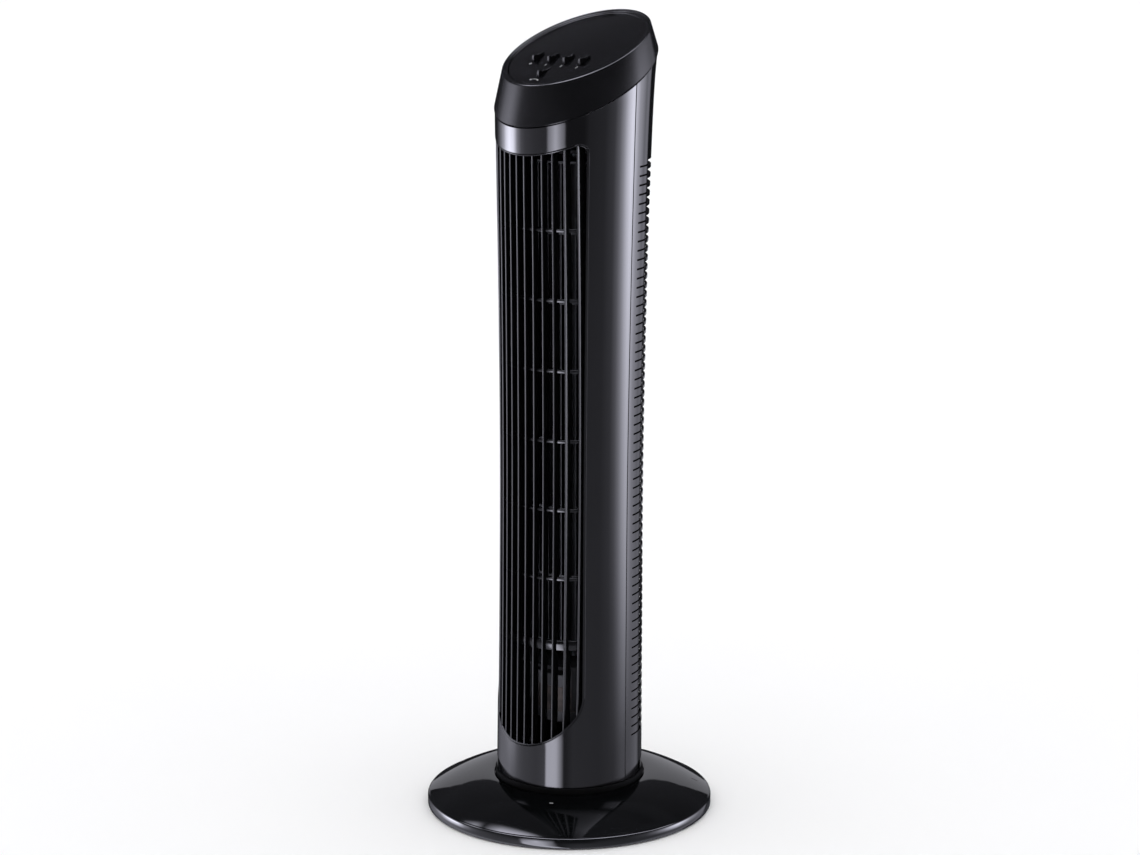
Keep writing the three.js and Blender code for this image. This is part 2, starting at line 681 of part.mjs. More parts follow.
// ---------- impeller and its bearings ----------
function impeller() {
  const discs = [];
  const pitch = (IMPELLER_TOP - IMPELLER_BOTTOM - 2.5) / (IMPELLER_DISCS - 1);
  for (let i = 0; i < IMPELLER_DISCS; i += 1) {
    const z = IMPELLER_BOTTOM + i * pitch;
    const ends = i === 0 || i === IMPELLER_DISCS - 1;
    const inner = i === 0 ? 12.3 : 3.3;
    discs.push(tube(ends ? inner : 28, IMPELLER_RADIUS, z, z + 2.5, 18, 0, IMPELLER_Y));
  }
  const blades = [];
  for (let i = 0; i < IMPELLER_BLADES; i += 1) {
    const blade = block(-4.5, 5.5, -0.6, 0.6, IMPELLER_BOTTOM + 1, IMPELLER_TOP - 1);
    blade.rotateZ(rad(28)).translate(34, 0, 0);
    blades.push(blade.rotateZ(rad((i * 360) / IMPELLER_BLADES)).translate(0, IMPELLER_Y, 0));
  }
  return join(...discs, ...blades);
}
place('impeller', impeller(), greyPlastic());
place('drive_coupling', tube(4.5, 11.8, 158, 176, 12, 0, IMPELLER_Y), rubber());
place('impeller_top_pin', disc(3, 621, 644, 12, 0, IMPELLER_Y), steel());
place('upper_bush', tube(3.4, 7, 634, 643, 12, 0, IMPELLER_Y), bronze());
place('upper_bearing_seat', tube(7.3, 11.9, 633, 644, 12, 0, IMPELLER_Y), rubber());
place('upper_bracket', crossPlate(637, 640, 12.3), matteBlack());

// ---------- air duct: thin walls that follow the impeller ----------
const DUCT_BOTTOM = 149.5;
const DUCT_TOP = 636.6;

// a wall whose distance from the impeller's axis changes evenly with the angle
function ductWall(startAngle, endAngle, startRadius, endRadius, steps, thickness = 2) {
  const at = (t, extra) => {
    const angle = rad(THREE.MathUtils.lerp(startAngle, endAngle, t));
    const r = THREE.MathUtils.lerp(startRadius, endRadius, t) + extra;
    return [r * Math.sin(angle), IMPELLER_Y - r * Math.cos(angle)];
  };
  const inside = Array.from({ length: steps + 1 }, (_, i) => at(i / steps, 0));
  const outside = Array.from({ length: steps + 1 }, (_, i) => at(1 - i / steps, thickness));
  return prismZ([...inside, ...outside], DUCT_BOTTOM, DUCT_TOP);
}
place('duct_volute', ductWall(-60, -150, 57, 43, 8), matteBlack());
place('duct_tongue', ductWall(62, 86, 59, 43, 4), matteBlack());

// ---------- electrical pieces ----------
place('run_capacitor', block(-34, -14, -44, -30, FLOOR_TOP + GAP, 66), whitePlastic());
place('terminal_block', block(10, 40, -42, -30, FLOOR_TOP + GAP, 53), whitePlastic());

const LEAD_RADIUS = 2;

function innerLead() {
  const route = [
    [44, -36, 47],
    [52, -26, 52],
    [57, -4, 70],
    [59, 14, 100],
    [59, 15, 300],
    [59, 15, 500],
    [59, 15, 640],
    [56, 14, 670],
    [48, 6, 696],
    [40.5, -1, 701],
  ];
  const path = new THREE.CatmullRomCurve3(route.map((p) => new THREE.Vector3(...p)), false, 'centripetal');
  const turns = Array.from({ length: 8 }, (_, i) => rad(45 * i));
  const section = shapeOf(turns.map((a) => [LEAD_RADIUS * Math.cos(a), LEAD_RADIUS * Math.sin(a)]));
  return new THREE.ExtrudeGeometry(section, { steps: 24, bevelEnabled: false, extrudePath: path });
}
place('inner_lead', innerLead(), matteBlack());

// ---------- base screws, up through the base plate ----------
const SCREW_CIRCLE = 87.7;
const SCREW_PROFILE = [[0, 4.5], [4, 4.5], [4, 6.5], [1.8, 7], [1.8, 16], [0, 16]];
for (let i = 0; i < 3; i += 1) {
  const angle = rad(30 + 120 * i);
  const screw = turned(SCREW_PROFILE, 16, SCREW_CIRCLE * Math.cos(angle), SCREW_CIRCLE * Math.sin(angle));
  place(`base_screw_${i + 1}`, screw, steel());
}

export default fan;
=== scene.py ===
import math

import bmesh
import bpy
from mathutils import Matrix, Vector


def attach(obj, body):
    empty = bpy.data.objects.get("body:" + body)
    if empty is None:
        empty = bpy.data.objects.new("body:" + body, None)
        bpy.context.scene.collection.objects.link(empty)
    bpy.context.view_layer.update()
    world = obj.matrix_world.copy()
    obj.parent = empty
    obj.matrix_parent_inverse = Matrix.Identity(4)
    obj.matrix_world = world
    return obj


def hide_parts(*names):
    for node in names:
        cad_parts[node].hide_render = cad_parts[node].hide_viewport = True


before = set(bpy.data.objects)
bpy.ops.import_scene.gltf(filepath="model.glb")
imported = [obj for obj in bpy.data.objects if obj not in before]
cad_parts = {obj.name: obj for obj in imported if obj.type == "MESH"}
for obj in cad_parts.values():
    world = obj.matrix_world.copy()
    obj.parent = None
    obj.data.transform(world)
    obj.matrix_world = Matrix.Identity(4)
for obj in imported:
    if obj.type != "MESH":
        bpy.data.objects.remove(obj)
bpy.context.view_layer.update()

MM = 0.001

# ---------- driving dimensions ----------
GAP = 0.3
TOWER_FOOT = 36.4
SHELL_WALL = 2.5
EDGE_RADIUS = 0.35                       # softened edge of a moulding
# waisted tower: height, radius, and how far the section's centre lies to the rear
OUTLINE = [
    (36.5, 70.1, 0.0),
    (181.5, 69.1, 1.6),
    (341.5, 68.6, 2.8),
    (501.5, 70.1, 4.2),
    (621.5, 72.3, 5.4),
    (701.5, 74.4, 7.4),
    (751.5, 77.2, 10.3),
]
SPLIT_Y_AT_FLOOR = 3.2                   # plane where the front and rear shells meet
SPLIT_LEAN = 0.0105
SPLIT_GAP = 0.75
SEAM_GROOVE = 1.5                        # dark reveal under the head
SEAM_Z = 694.3                           # slanted joint between tower and head, at y = 0
SEAM_SLOPE = 0.506
RIM_RADIUS = 69.2
RIM_Y = 9.75
RIM_Z = 729.8
RIM_TILT = math.radians(24.34)
PANEL_DEPTH = 2.2
PANEL_RADIUS = 63.1
PANEL_THICKNESS = 1.8
OPENING_HALF_ANGLE = math.radians(54.6)
OPENING_ARCH_Z = 125.3
OPENING_ARCH_DROP = 52.0
OPENING_TOP_Z = 670.9
OPENING_CORNER = 7.0
BLADE_COUNT = 12
BLADE_PITCH = 9.32
BLADE_THICKNESS = 1.6
GRILLE_DEPTH = 7.0
RIB_HEIGHTS = (568.2, 503.2, 437.3, 371.0, 305.3, 239.3)
RIB_THICKNESS = 3.0
BAND_RIB = (170.3, 179.8)
SLOT_COUNT = 64
SLOT_TOP_Z = 622.75                      # lower edge of the top slot
SLOT_PITCH = 8.65
SLOT_TAIL_HEIGHT = 1.3                   # each slot starts as a thin tail, then opens
SLOT_HEIGHT = 5.2
SLOT_START = 101.0                       # degrees
SLOT_OPENS = (113.0, 116.5)
SLOT_END = 173.0
BASE_RADIUS = 137.5
BASE_RIM_TOP = 10.2
BASE_DOME_RISE = 19.8
BASE_WALL = 2.4
FOOT_HEIGHT = 1.5
WELL_RADIUS = 72.4
WELL_FLOOR = 27.0
COLLAR_RADIUS = 71.6
COLLAR_TOP = 35.9
NOTCH_ANGLES = (-104.2, -98.2)           # cord notch, at the base's left
NOTCH_RADII = (80.6, 100.2)
IMPELLER_Y = 8.0
IMPELLER_RADIUS = 40.0
IMPELLER_BOTTOM = 168.0
IMPELLER_TOP = 628.0
KEY_PITCH = 19.4
KEY_ROW_V = -22.7                        # up the panel's slope from its middle
SWING_KEY_V = -47.5
KEY_OFFSET_X = -1.7                      # the key rows stand a little to the left of the middle
KEY_WIDTH = 2.6                          # upright fins, pressed from above
KEY_FOOT = -2.6
# side views of the keys, (up the slope, above the panel): high at the front, dished, low at the rear
SPEED_KEY_SIDE = [(-6.7, KEY_FOOT), (8.8, KEY_FOOT), (8.8, 2.2), (8.4, 2.4), (6, 2.5), (4, 2.75), (2, 3.2),
                  (0.3, 3.75), (-1.4, 4.45), (-2.8, 5.1), (-3.5, 5.4), (-4.0, 5.45), (-4.35, 5.2), (-6.7, 0)]
SWING_KEY_SIDE = [(-8.1, KEY_FOOT), (10.5, KEY_FOOT), (10.5, 0.5), (8, 0.7), (5, 1.0), (2, 1.6), (-0.8, 2.5),
                  (-2.8, 3.35), (-3.9, 4.1), (-4.7, 4.8), (-5.2, 5.05), (-5.6, 4.95), (-8.1, 0)]
KEY_CLEARANCE = 0.4                      # between a key and the edge of its hole
FLANGE_HALF_WIDTH = 4.2                  # flange under the panel that keeps the key in
FLANGE_LIP = 1.2
FLANGE_THICKNESS = 1.6
STEM_RADIUS = 2
STEM_BOTTOM = -18.0
SPEED_LABEL = (0.6, -11.1)               # printed mark, from the middle of its key
SWING_LABEL = (0.4, -12.4)
DIGIT_SIZE = 4.2
INK_LIFT = 0.04


# ---------- colour and node helpers ----------
def linear(hex_colour):
    """sRGB hex to linear RGBA."""
    channels = [int(hex_colour[i:i + 2], 16) / 255 for i in (1, 3, 5)]
    return [c / 12.92 if c <= 0.04045 else ((c + 0.055) / 1.055) ** 2.4 for c in channels] + [1.0]


def add_node(tree, kind, settings=None, links=None):
    """Adds one node. settings: property or input name to value; links: input name to (node, output name)."""
    node = tree.nodes.new(kind)
    for name, value in (settings or {}).items():
        if isinstance(name, str) and hasattr(node, name):
            setattr(node, name, value)
        else:
            node.inputs[name].default_value = value
    for name, (source, output) in (links or {}).items():
        tree.links.new(source.outputs[output], node.inputs[name])
    return node


def start_material(name, **sockets):
    """A Principled material with its uniform values on the shader's own sockets."""
    material = bpy.data.materials.new(name)
    material.use_nodes = True
    tree = material.node_tree
    tree.nodes.clear()
    shader = add_node(tree, "ShaderNodeBsdfPrincipled", {k.replace("_", " "): v for k, v in sockets.items()})
    add_node(tree, "ShaderNodeOutputMaterial", links={"Surface": (shader, "BSDF")})
    where = add_node(tree, "ShaderNodeTexCoord")
    return material, tree, shader, where


def vary(tree, shader, where, period_mm, low, high, rough, detail=3.0):
    """Colour and roughness drift over the surface with a noise of this period."""
    noise = add_node(tree, "ShaderNodeTexNoise", {"Scale": 1000 / period_mm, "Detail": detail},
                     {"Vector": (where, "Object")})
    ramp = add_node(tree, "ShaderNodeValToRGB", links={"Fac": (noise, "Fac")})
    ramp.color_ramp.elements[0].position, ramp.color_ramp.elements[1].position = 0.3, 0.7
    ramp.color_ramp.elements[0].color, ramp.color_ramp.elements[1].color = linear(low), linear(high)
    tree.links.new(ramp.outputs["Color"], shader.inputs["Base Color"])
    spread = add_node(tree, "ShaderNodeMapRange", {"To Min": rough[0], "To Max": rough[1]},
                      {"Value": (noise, "Fac")})
    tree.links.new(spread.outputs["Result"], shader.inputs["Roughness"])
    return noise


def grain(tree, shader, where, period_mm, height_mm, strength=1.0, kind="ShaderNodeTexNoise"):
    """Fine surface relief of this period and height."""
    texture = add_node(tree, kind, {"Scale": 1000 / period_mm}, {"Vector": (where, "Object")})
    output = "Fac" if kind == "ShaderNodeTexNoise" else "Distance"
    bump = add_node(tree, "ShaderNodeBump", {"Strength": strength, "Distance": height_mm * MM},
                    {"Height": (texture, output)})
    tree.links.new(bump.outputs["Normal"], shader.inputs["Normal"])


# ---------- materials ----------
def abs_gloss_black_moulded():
    # ABS from a polished mould: deep black, sharp reflections, faint flow waviness about 30 mm long
    material, tree, shader, where = start_material("abs_gloss_black_moulded", IOR=1.52)
    vary(tree, shader, where, 45, "#050506", "#08080a", (0.05, 0.1))
    grain(tree, shader, where, 30, 0.01, 0.25)
    return material


def abs_gloss_black_base():
    # the base's top: the same polished ABS, handled more, so the gloss drifts a little wider
    material, tree, shader, where = start_material("abs_gloss_black_base", IOR=1.52)
    vary(tree, shader, where, 60, "#040506", "#070809", (0.03, 0.08))
    grain(tree, shader, where, 40, 0.01, 0.2)
    return material


def abs_satin_black_eroded():
    # ABS from a spark-eroded mould: satin black, its grain about 0.5 mm apart
    material, tree, shader, where = start_material("abs_satin_black_eroded", IOR=1.5)
    vary(tree, shader, where, 35, "#050506", "#08080a", (0.16, 0.2))
    grain(tree, shader, where, 0.5, 0.01, 0.35)
    return material


def abs_satin_black_grille():
    # the grille is satin ABS too
    material, tree, shader, where = start_material("abs_satin_black_grille", IOR=1.5)
    vary(tree, shader, where, 20, "#040405", "#070708", (0.12, 0.18))
    grain(tree, shader, where, 0.6, 0.008, 0.3)
    return material


def abs_satin_black_panel():
    # fine-textured ABS: the control panel softens what it reflects, grain about 0.4 mm apart
    material, tree, shader, where = start_material("abs_satin_black_panel", IOR=1.5)
    vary(tree, shader, where, 25, "#050506", "#08080a", (0.12, 0.17))
    grain(tree, shader, where, 0.4, 0.004, 0.3)
    return material


def abs_key_black():
    # key caps, rubbed smoother by fingers than the panel round them
    material, tree, shader, where = start_material("abs_key_black", IOR=1.5)
    vary(tree, shader, where, 6, "#040405", "#070708", (0.14, 0.24))
    grain(tree, shader, where, 0.4, 0.006, 0.3)
    return material


def abs_matte_black_inside():
    # unseen mouldings are left dull from a plain milled mould; this black is also painted shade on the run
    # capacitor, the terminal block and the base's slot
    material, tree, shader, where = start_material("abs_matte_black_inside", IOR=1.48,
                                                   Specular_IOR_Level=0.25)
    vary(tree, shader, where, 18, "#050506", "#09090a", (0.55, 0.7))
    grain(tree, shader, where, 1.2, 0.03, 0.4)
    return material


def abs_matte_black_collar():
    # the collar is black ABS, made darker than the other mouldings and with its shine nearly turned off as
    # painted shade under the tower's foot; its bead-blasted mould makes it rough
    material, tree, shader, where = start_material("abs_matte_black_collar", IOR=1.45,
                                                   Specular_IOR_Level=0.06)
    vary(tree, shader, where, 15, "#030303", "#060606", (0.6, 0.75))
    grain(tree, shader, where, 0.5, 0.02, 0.4)
    return material


def ink_white_pad_printed():
    # pad-printed ink, slightly uneven in its cover
    material, tree, shader, where = start_material("ink_white_pad_printed", IOR=1.5)
    vary(tree, shader, where, 1.5, "#b9bbbf", "#e4e5e8", (0.4, 0.55))
    grain(tree, shader, where, 0.3, 0.004, 0.4)
    return material


def rubber_black_moulded():
    # moulded rubber feet and bearing seats, dull with dusty highlights
    material, tree, shader, where = start_material("rubber_black_moulded", IOR=1.5, Sheen_Weight=0.05)
    vary(tree, shader, where, 9, "#101010", "#191918", (0.75, 0.9))
    grain(tree, shader, where, 0.8, 0.05, 0.5)
    return material


def polypropylene_charcoal_moulded():
    # impeller in charcoal polypropylene, waxy and a little dusty on the blades
    material, tree, shader, where = start_material("polypropylene_charcoal_moulded", IOR=1.49)
    vary(tree, shader, where, 14, "#0d0d0e", "#151617", (0.38, 0.55))
    grain(tree, shader, where, 1.0, 0.02, 0.4)
    return material


def nylon_white_moulded():
    # natural nylon, slightly yellow and waxy
    material, tree, shader, where = start_material("nylon_white_moulded", IOR=1.53, Subsurface_Weight=0.05)
    vary(tree, shader, where, 12, "#c9c6bb", "#dcdad1", (0.4, 0.55))
    grain(tree, shader, where, 0.9, 0.02, 0.4)
    return material


def steel_drawn_zinc_plated():
    # bright zinc-plated steel with drawing marks 0.3 mm apart
    material, tree, shader, where = start_material("steel_drawn_zinc_plated", Metallic=1.0)
    vary(tree, shader, where, 8, "#9a9da0", "#b4b7ba", (0.25, 0.42))
    grain(tree, shader, where, 0.3, 0.006, 0.4)
    return material


def zinc_die_cast():
    # die-cast zinc: pale grey with a cloudy skin
    material, tree, shader, where = start_material("zinc_die_cast", Metallic=1.0)
    vary(tree, shader, where, 6, "#8f9396", "#a8abae", (0.42, 0.6))
    grain(tree, shader, where, 1.5, 0.03, 0.5)
    return material


def zinc_die_cast_painted():
    # motor caps and the swing motor are die-cast zinc, coloured black here as painted shade for the dark
    # inside of the tower; a soft relief stands for the casting's orange peel
    material, tree, shader, where = start_material("zinc_die_cast_painted", IOR=1.5)
    vary(tree, shader, where, 10, "#0b0b0c", "#131315", (0.4, 0.6))
    grain(tree, shader, where, 2.0, 0.05, 0.5)
    return material


def bronze_sintered():
    # oil-filled sintered bronze, its pores about 0.3 mm apart
    material, tree, shader, where = start_material("bronze_sintered", Metallic=1.0)
    vary(tree, shader, where, 3, "#7d6236", "#9a7c49", (0.4, 0.6))
    grain(tree, shader, where, 0.3, 0.02, 0.6, "ShaderNodeTexVoronoi")
    return material


def layered(material, tree, shader, where, pitch_mm, height_mm, turned=False):
    """Parallel ridges one pitch apart, up the piece or, when turned, round it."""
    bands = add_node(tree, "ShaderNodeTexWave",
                     {"bands_direction": "X" if turned else "Z", "Scale": 1000 / pitch_mm / 20,
                      "Distortion": 0.4}, {"Vector": (where, "Object")})
    bump = add_node(tree, "ShaderNodeBump", {"Strength": 0.8, "Distance": height_mm * MM},
                    {"Height": (bands, "Fac")})
    tree.links.new(bump.outputs["Normal"], shader.inputs["Normal"])
    return material


def steel_laminated_varnished():
    # stack of 0.5 mm steel sheets in dark varnish, drawn at 1 mm so that the sheets show
    parts = start_material("steel_laminated_varnished", Metallic=1.0)
    vary(*parts[1:], 7, "#2d2a28", "#45403c", (0.4, 0.6))
    return layered(*parts, 1.0, 0.1)


def copper_enamelled_wound():
    # enamelled copper wire, 0.6 mm from turn to turn
    parts = start_material("copper_enamelled_wound", Metallic=1.0)
    vary(*parts[1:], 4, "#6f3517", "#9a5128", (0.3, 0.45))
    return layered(*parts, 0.6, 0.2)


MATERIALS = {make.__name__: make() for make in (
    abs_gloss_black_moulded, abs_gloss_black_base, abs_satin_black_eroded, abs_satin_black_grille,
    abs_satin_black_panel, abs_key_black, abs_matte_black_inside, abs_matte_black_collar,
    ink_white_pad_printed,
    rubber_black_moulded, polypropylene_charcoal_moulded, nylon_white_moulded, steel_drawn_zinc_plated,
    zinc_die_cast, zinc_die_cast_painted, bronze_sintered, steel_laminated_varnished,
    copper_enamelled_wound)}


# ---------- the tower's outline ----------
def outline(z):
    """Radius and rearward centre of the tower's section at height z, on a smooth curve through the table."""
    last = len(OUTLINE) - 1
    i = next((k for k in range(last) if z <= OUTLINE[k + 1][0]), last - 1)
    (z0, *start), (z1, *end) = OUTLINE[i], OUTLINE[i + 1]
    before, after = OUTLINE[max(i - 1, 0)], OUTLINE[min(i + 2, last)]
    t = (z - z0) / (z1 - z0)
    values = []
    for k in range(2):
        slope0 = (end[k] - before[k + 1]) / (z1 - before[0]) * (z1 - z0)
        slope1 = (after[k + 1] - start[k]) / (after[0] - z0) * (z1 - z0)
        values.append((2 * t ** 3 - 3 * t ** 2 + 1) * start[k] + (t ** 3 - 2 * t ** 2 + t) * slope0
                      + (3 * t ** 2 - 2 * t ** 3) * end[k] + (t ** 3 - t ** 2) * slope1)
    return values


def round_point(angle, z, offset=0.0):
    radius, rear = outline(z)
    return Vector(((radius + offset) * math.sin(angle), rear - (radius + offset) * math.cos(angle), z))


def front_point(x, z, offset=0.0):
    """The outline's point at x on the front half."""
    radius, rear = outline(z)
    return Vector((x, rear - math.sqrt((radius + offset) ** 2 - x ** 2), z))


def split_angle(z, side):
    """Angle where the section meets the split plane; side is -1 for the front shell, 1 for the rear one."""
    radius, rear = outline(z)
    y = SPLIT_Y_AT_FLOOR + SPLIT_LEAN * z + side * SPLIT_GAP / 2
    return math.acos((rear - y) / radius)


def seam_height(point_at, rise=0.0):
    """Height where an upright line on the surface meets the slanted seam plane."""
    z = SEAM_Z
    for _ in range(30):
        z = (z + SEAM_Z + SEAM_SLOPE * point_at(z).y + rise) / 2
    return z


def lerp(a, b, t):
    return a + (b - a) * t


def spread(count, start=0.0, end=1.0):
    return [lerp(start, end, i / (count - 1)) for i in range(count)]


# ---------- mesh helpers ----------
def quads(rows, closed=False, keep=lambda row, column: True):
    """Points and quads of a grid; closed joins the last column to the first."""
    width = len(rows[0])
    points = [p for row in rows for p in row]
    faces = []
    for i in range(len(rows) - 1):
        for j in range(width if closed else width - 1):
            if keep(i, j):
                k = (j + 1) % width
                faces.append((i * width + j, i * width + k, (i + 1) * width + k, (i + 1) * width + j))
    return points, faces


def capped(rings):
    """Closed body through rings, with its two ends filled."""
    points, faces = quads(rings, closed=True)
    width, last = len(rings[0]), (len(rings) - 1) * len(rings[0])
    faces.append(tuple(reversed(range(width))))
    faces.append(tuple(range(last, last + width)))
    return points, faces


def joined(parts):
    points, faces = [], []
    for some_points, some_faces in parts:
        shift = len(points)
        points.extend(some_points)
        faces.extend(tuple(i + shift for i in face) for face in some_faces)
    return points, faces


def turned(profile, segments=144, x=0.0, y=0.0):
    """Surface of revolution; profile is (radius, height) pairs from the outside round to the inside."""
    rows = []
    for radius, z in profile:
        turns = [2 * math.pi * i / segments for i in range(segments)]
        rows.append([Vector((x + radius * math.sin(a), y - radius * math.cos(a), z)) for a in turns])
    return quads(rows, closed=True)


def piece(name, shape, material, body, replaces=(), outward=None, sharp=38.0):
    """A named mesh on its body. outward(point) tells an open skin which side faces out."""
    points, faces = shape
    mesh = bpy.data.meshes.new(name)
    mesh.from_pydata([p * MM for p in points], [], faces)
    work = bmesh.new()
    work.from_mesh(mesh)
    bmesh.ops.remove_doubles(work, verts=work.verts, dist=1e-6)
    bmesh.ops.dissolve_degenerate(work, edges=work.edges, dist=1e-7)
    bmesh.ops.recalc_face_normals(work, faces=work.faces)
    if outward:
        work.faces.ensure_lookup_table()
        tally = sum(f.normal.dot(outward(f.calc_center_median() / MM)) * f.calc_area() for f in work.faces)
        if tally < 0:
            bmesh.ops.reverse_faces(work, faces=work.faces)
    work.to_mesh(mesh)
    work.free()
    mesh.shade_smooth()
    mesh.set_sharp_from_angle(angle=math.radians(sharp))
    mesh.materials.append(MATERIALS[material])
    obj = bpy.data.objects.new(name, mesh)
    bpy.context.scene.collection.objects.link(obj)
    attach(obj, body)
    if replaces:
        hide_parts(*replaces)
    return obj


def thicken(obj, wall):
    """Gives an outer skin its wall, inwards."""
    shell = obj.modifiers.new("wall", "SOLIDIFY")
    shell.thickness = wall * MM
    shell.offset = -1
    shell.use_even_offset = True


def soften(obj, radius, segments=2, limit=40.0):
    bevel = obj.modifiers.new("softened edges", "BEVEL")
    bevel.width = radius * MM
    bevel.segments = segments
    bevel.limit_method = "ANGLE"
    bevel.angle_limit = math.radians(limit)
    bevel.harden_normals = True
    bevel.use_clamp_overlap = True


def away_from_axis(point):
    return Vector((point.x, point.y - 4, 0)).normalized()


# ---------- front shell ----------
def opening_side(z, inset=0.0):
    return outline(z)[0] * math.sin(OPENING_HALF_ANGLE) - inset


def opening_top(x, inset=0.0):
    return OPENING_TOP_Z + SEAM_SLOPE * front_point(x, 640).y - inset


def opening_corner(inset=0.0):
    """Middle and radius of the opening's rounded top corner."""
    radius = max(OPENING_CORNER - inset, 2)
    x = opening_side(632, inset) - radius
    return x, opening_top(x, inset) - radius, radius


def arch_edge(turn, inset=0.0):
    """Point of the bottom arch; turn runs from 0 at the middle to 90 degrees at the side."""
    return (opening_side(OPENING_ARCH_Z, inset) * math.sin(turn),
            OPENING_ARCH_Z - (OPENING_ARCH_DROP - inset) * math.cos(turn))


def top_edge(inset=0.0):
    """Top edge from the middle to the side, through the corner."""
    x, z, radius = opening_corner(inset)
    straight = [(a, opening_top(a, inset)) for a in spread(14, 0, x)]
    corner = [(x + radius * math.sin(a), z + radius * math.cos(a)) for a in spread(9, 0, math.pi / 2)]
    return straight + corner[1:]


def front_shell():
    low_steps, high_steps = spread(9), spread(8)
    corner_x, corner_z, radius = opening_corner()
    side_x = corner_x + radius
    parts = []
    for side in (-1, 1):
        # below the arch
        columns = [arch_edge(turn) for turn in spread(31, 0, math.pi / 2)]
        parts.append(quads([[front_point(side * x, lerp(TOWER_FOOT, z, t)) for x, z in columns]
                            for t in low_steps]))
        # above the opening
        columns = top_edge()
        tops = [seam_height(lambda z, x=x: front_point(side * x, z)) for x, _ in columns]
        parts.append(quads([[front_point(side * x, lerp(z, top, t)) for (x, z), top in zip(columns, tops)]
                            for t in high_steps]))
        # beside the opening, back to the split
        rows = []
        arch_x = opening_side(OPENING_ARCH_Z)
        levels = [(lerp(TOWER_FOOT, OPENING_ARCH_Z, t), arch_x) for t in low_steps]
        levels += [(z, opening_side(z)) for z in spread(40, OPENING_ARCH_Z, corner_z)[1:-1]]
        for z, edge_x in levels:
            start, end = math.asin(edge_x / outline(z)[0]), split_angle(z, -1)
            rows.append([round_point(side * lerp(start, end, t), z) for t in spread(17)])
        for t in high_steps:
            row = []
            for u in spread(17):
                def angle(z):
                    return lerp(math.asin(side_x / outline(z)[0]), split_angle(z, -1), u)
                top = seam_height(lambda z: round_point(side * angle(z), z))
                z = lerp(corner_z, top, t)
                row.append(round_point(side * angle(z), z))
            rows.append(row)
        parts.append(quads(rows))
    obj = piece("front_shell_moulding", joined(parts), "abs_gloss_black_moulded", "tower",
                ["front_shell"], away_from_axis)
    thicken(obj, SHELL_WALL)
    soften(obj, EDGE_RADIUS)


# ---------- rear shell ----------
def slot_rise(angle):
    """Height of a slot at this angle from the front, in degrees: a thin tail that opens out."""
    start, end = SLOT_OPENS
    t = min(max((angle - start) / (end - start), 0), 1)
    return lerp(SLOT_TAIL_HEIGHT, SLOT_HEIGHT, t * t * (3 - 2 * t))


def rear_shell():
    near = [95, 98, SLOT_START - 0.6, SLOT_START, SLOT_START + 0.6, 103, 105, 107, 109, 111, 112]
    opens = spread(9, *SLOT_OPENS)
    far = [118, 120, *spread(18, 122.5, 170), SLOT_END - 0.8, SLOT_END]
    one_side = [*near, *opens, *far]
    angles = [None, *one_side, 176.5, 180, 183.5, *[360 - a for a in reversed(one_side)], None]
    bottoms = [SLOT_TOP_Z - i * SLOT_PITCH for i in range(SLOT_COUNT - 1, -1, -1)]

    def place(column, z):
        if angles[column] is None:
            edge = split_angle(z, 1)
            return round_point(edge if column == 0 else 2 * math.pi - edge, z)
        return round_point(math.radians(angles[column]), z)

    def folded(column):
        return min(angles[column], 360 - angles[column]) if angles[column] else 90

    def row(height):
        return [place(column, height(column)) for column in range(len(angles))]

    rows = [row(lambda column, t=t: lerp(TOWER_FOOT, bottoms[0] - 3, t)) for t in spread(6)]
    slotted = []
    for z in bottoms:
        slotted.append(len(rows))
        rows.append(row(lambda column: z))
        rows.append(row(lambda column: z + slot_rise(folded(column))))
    start = bottoms[-1] + SLOT_HEIGHT + 3
    tops = [seam_height(lambda z: place(column, z)) for column in range(len(angles))]
    rows += [row(lambda column, t=t: lerp(start, tops[column], t)) for t in spread(10)]

    open_rows = set(slotted)

    def keep(i, j):
        if i not in open_rows or angles[j] is None or angles[j + 1] is None:
            return True
        middle = (angles[j] + angles[j + 1]) / 2
        return not SLOT_START < min(middle, 360 - middle) < SLOT_END

    obj = piece("rear_shell_moulding", quads(rows, keep=keep), "abs_gloss_black_moulded", "tower",
                ["rear_shell"], away_from_axis)
    thicken(obj, SHELL_WALL)
    soften(obj, EDGE_RADIUS, 2, 60)


def rear_ribs():
    """Upright ribs behind the slots, and a dark strip behind their thin tails."""
    parts = []
    bottom, top = SLOT_TOP_Z - SLOT_COUNT * SLOT_PITCH, SLOT_TOP_Z + SLOT_HEIGHT + 4
    for side in (-1, 1):
        spans = [(98, 118, -3.6, -2.9)] + [(a, a + 1.1, -6.5, -2.9) for a in spread(7, 124, 169)]
        for start, end, inner, outer in spans:
            turns = [math.radians(side * a) for a in spread(7 if end - start > 5 else 2, start, end)]
            rings = []
            for z in spread(12, bottom, top):
                near = [round_point(a, z, outer) for a in turns]
                rings.append(near + [round_point(a, z, inner) for a in reversed(turns)])
            parts.append(capped(rings))
    piece("rear_shell_ribs", joined(parts), "abs_matte_black_inside", "tower")


# ---------- front grille ----------
def blade_ends(x):
    """Heights where the blade at x meets the frame, at the bottom and the top."""
    inset = 1.2
    across = min(abs(x) / opening_side(OPENING_ARCH_Z, inset), 0.999)
    bottom = OPENING_ARCH_Z - (OPENING_ARCH_DROP - inset) * math.sqrt(1 - across ** 2)
    corner_x, corner_z, radius = opening_corner(inset)
    if abs(x) <= corner_x:
        return bottom, opening_top(abs(x), inset)
    return bottom, corner_z + math.sqrt(max(radius ** 2 - (abs(x) - corner_x) ** 2, 0))


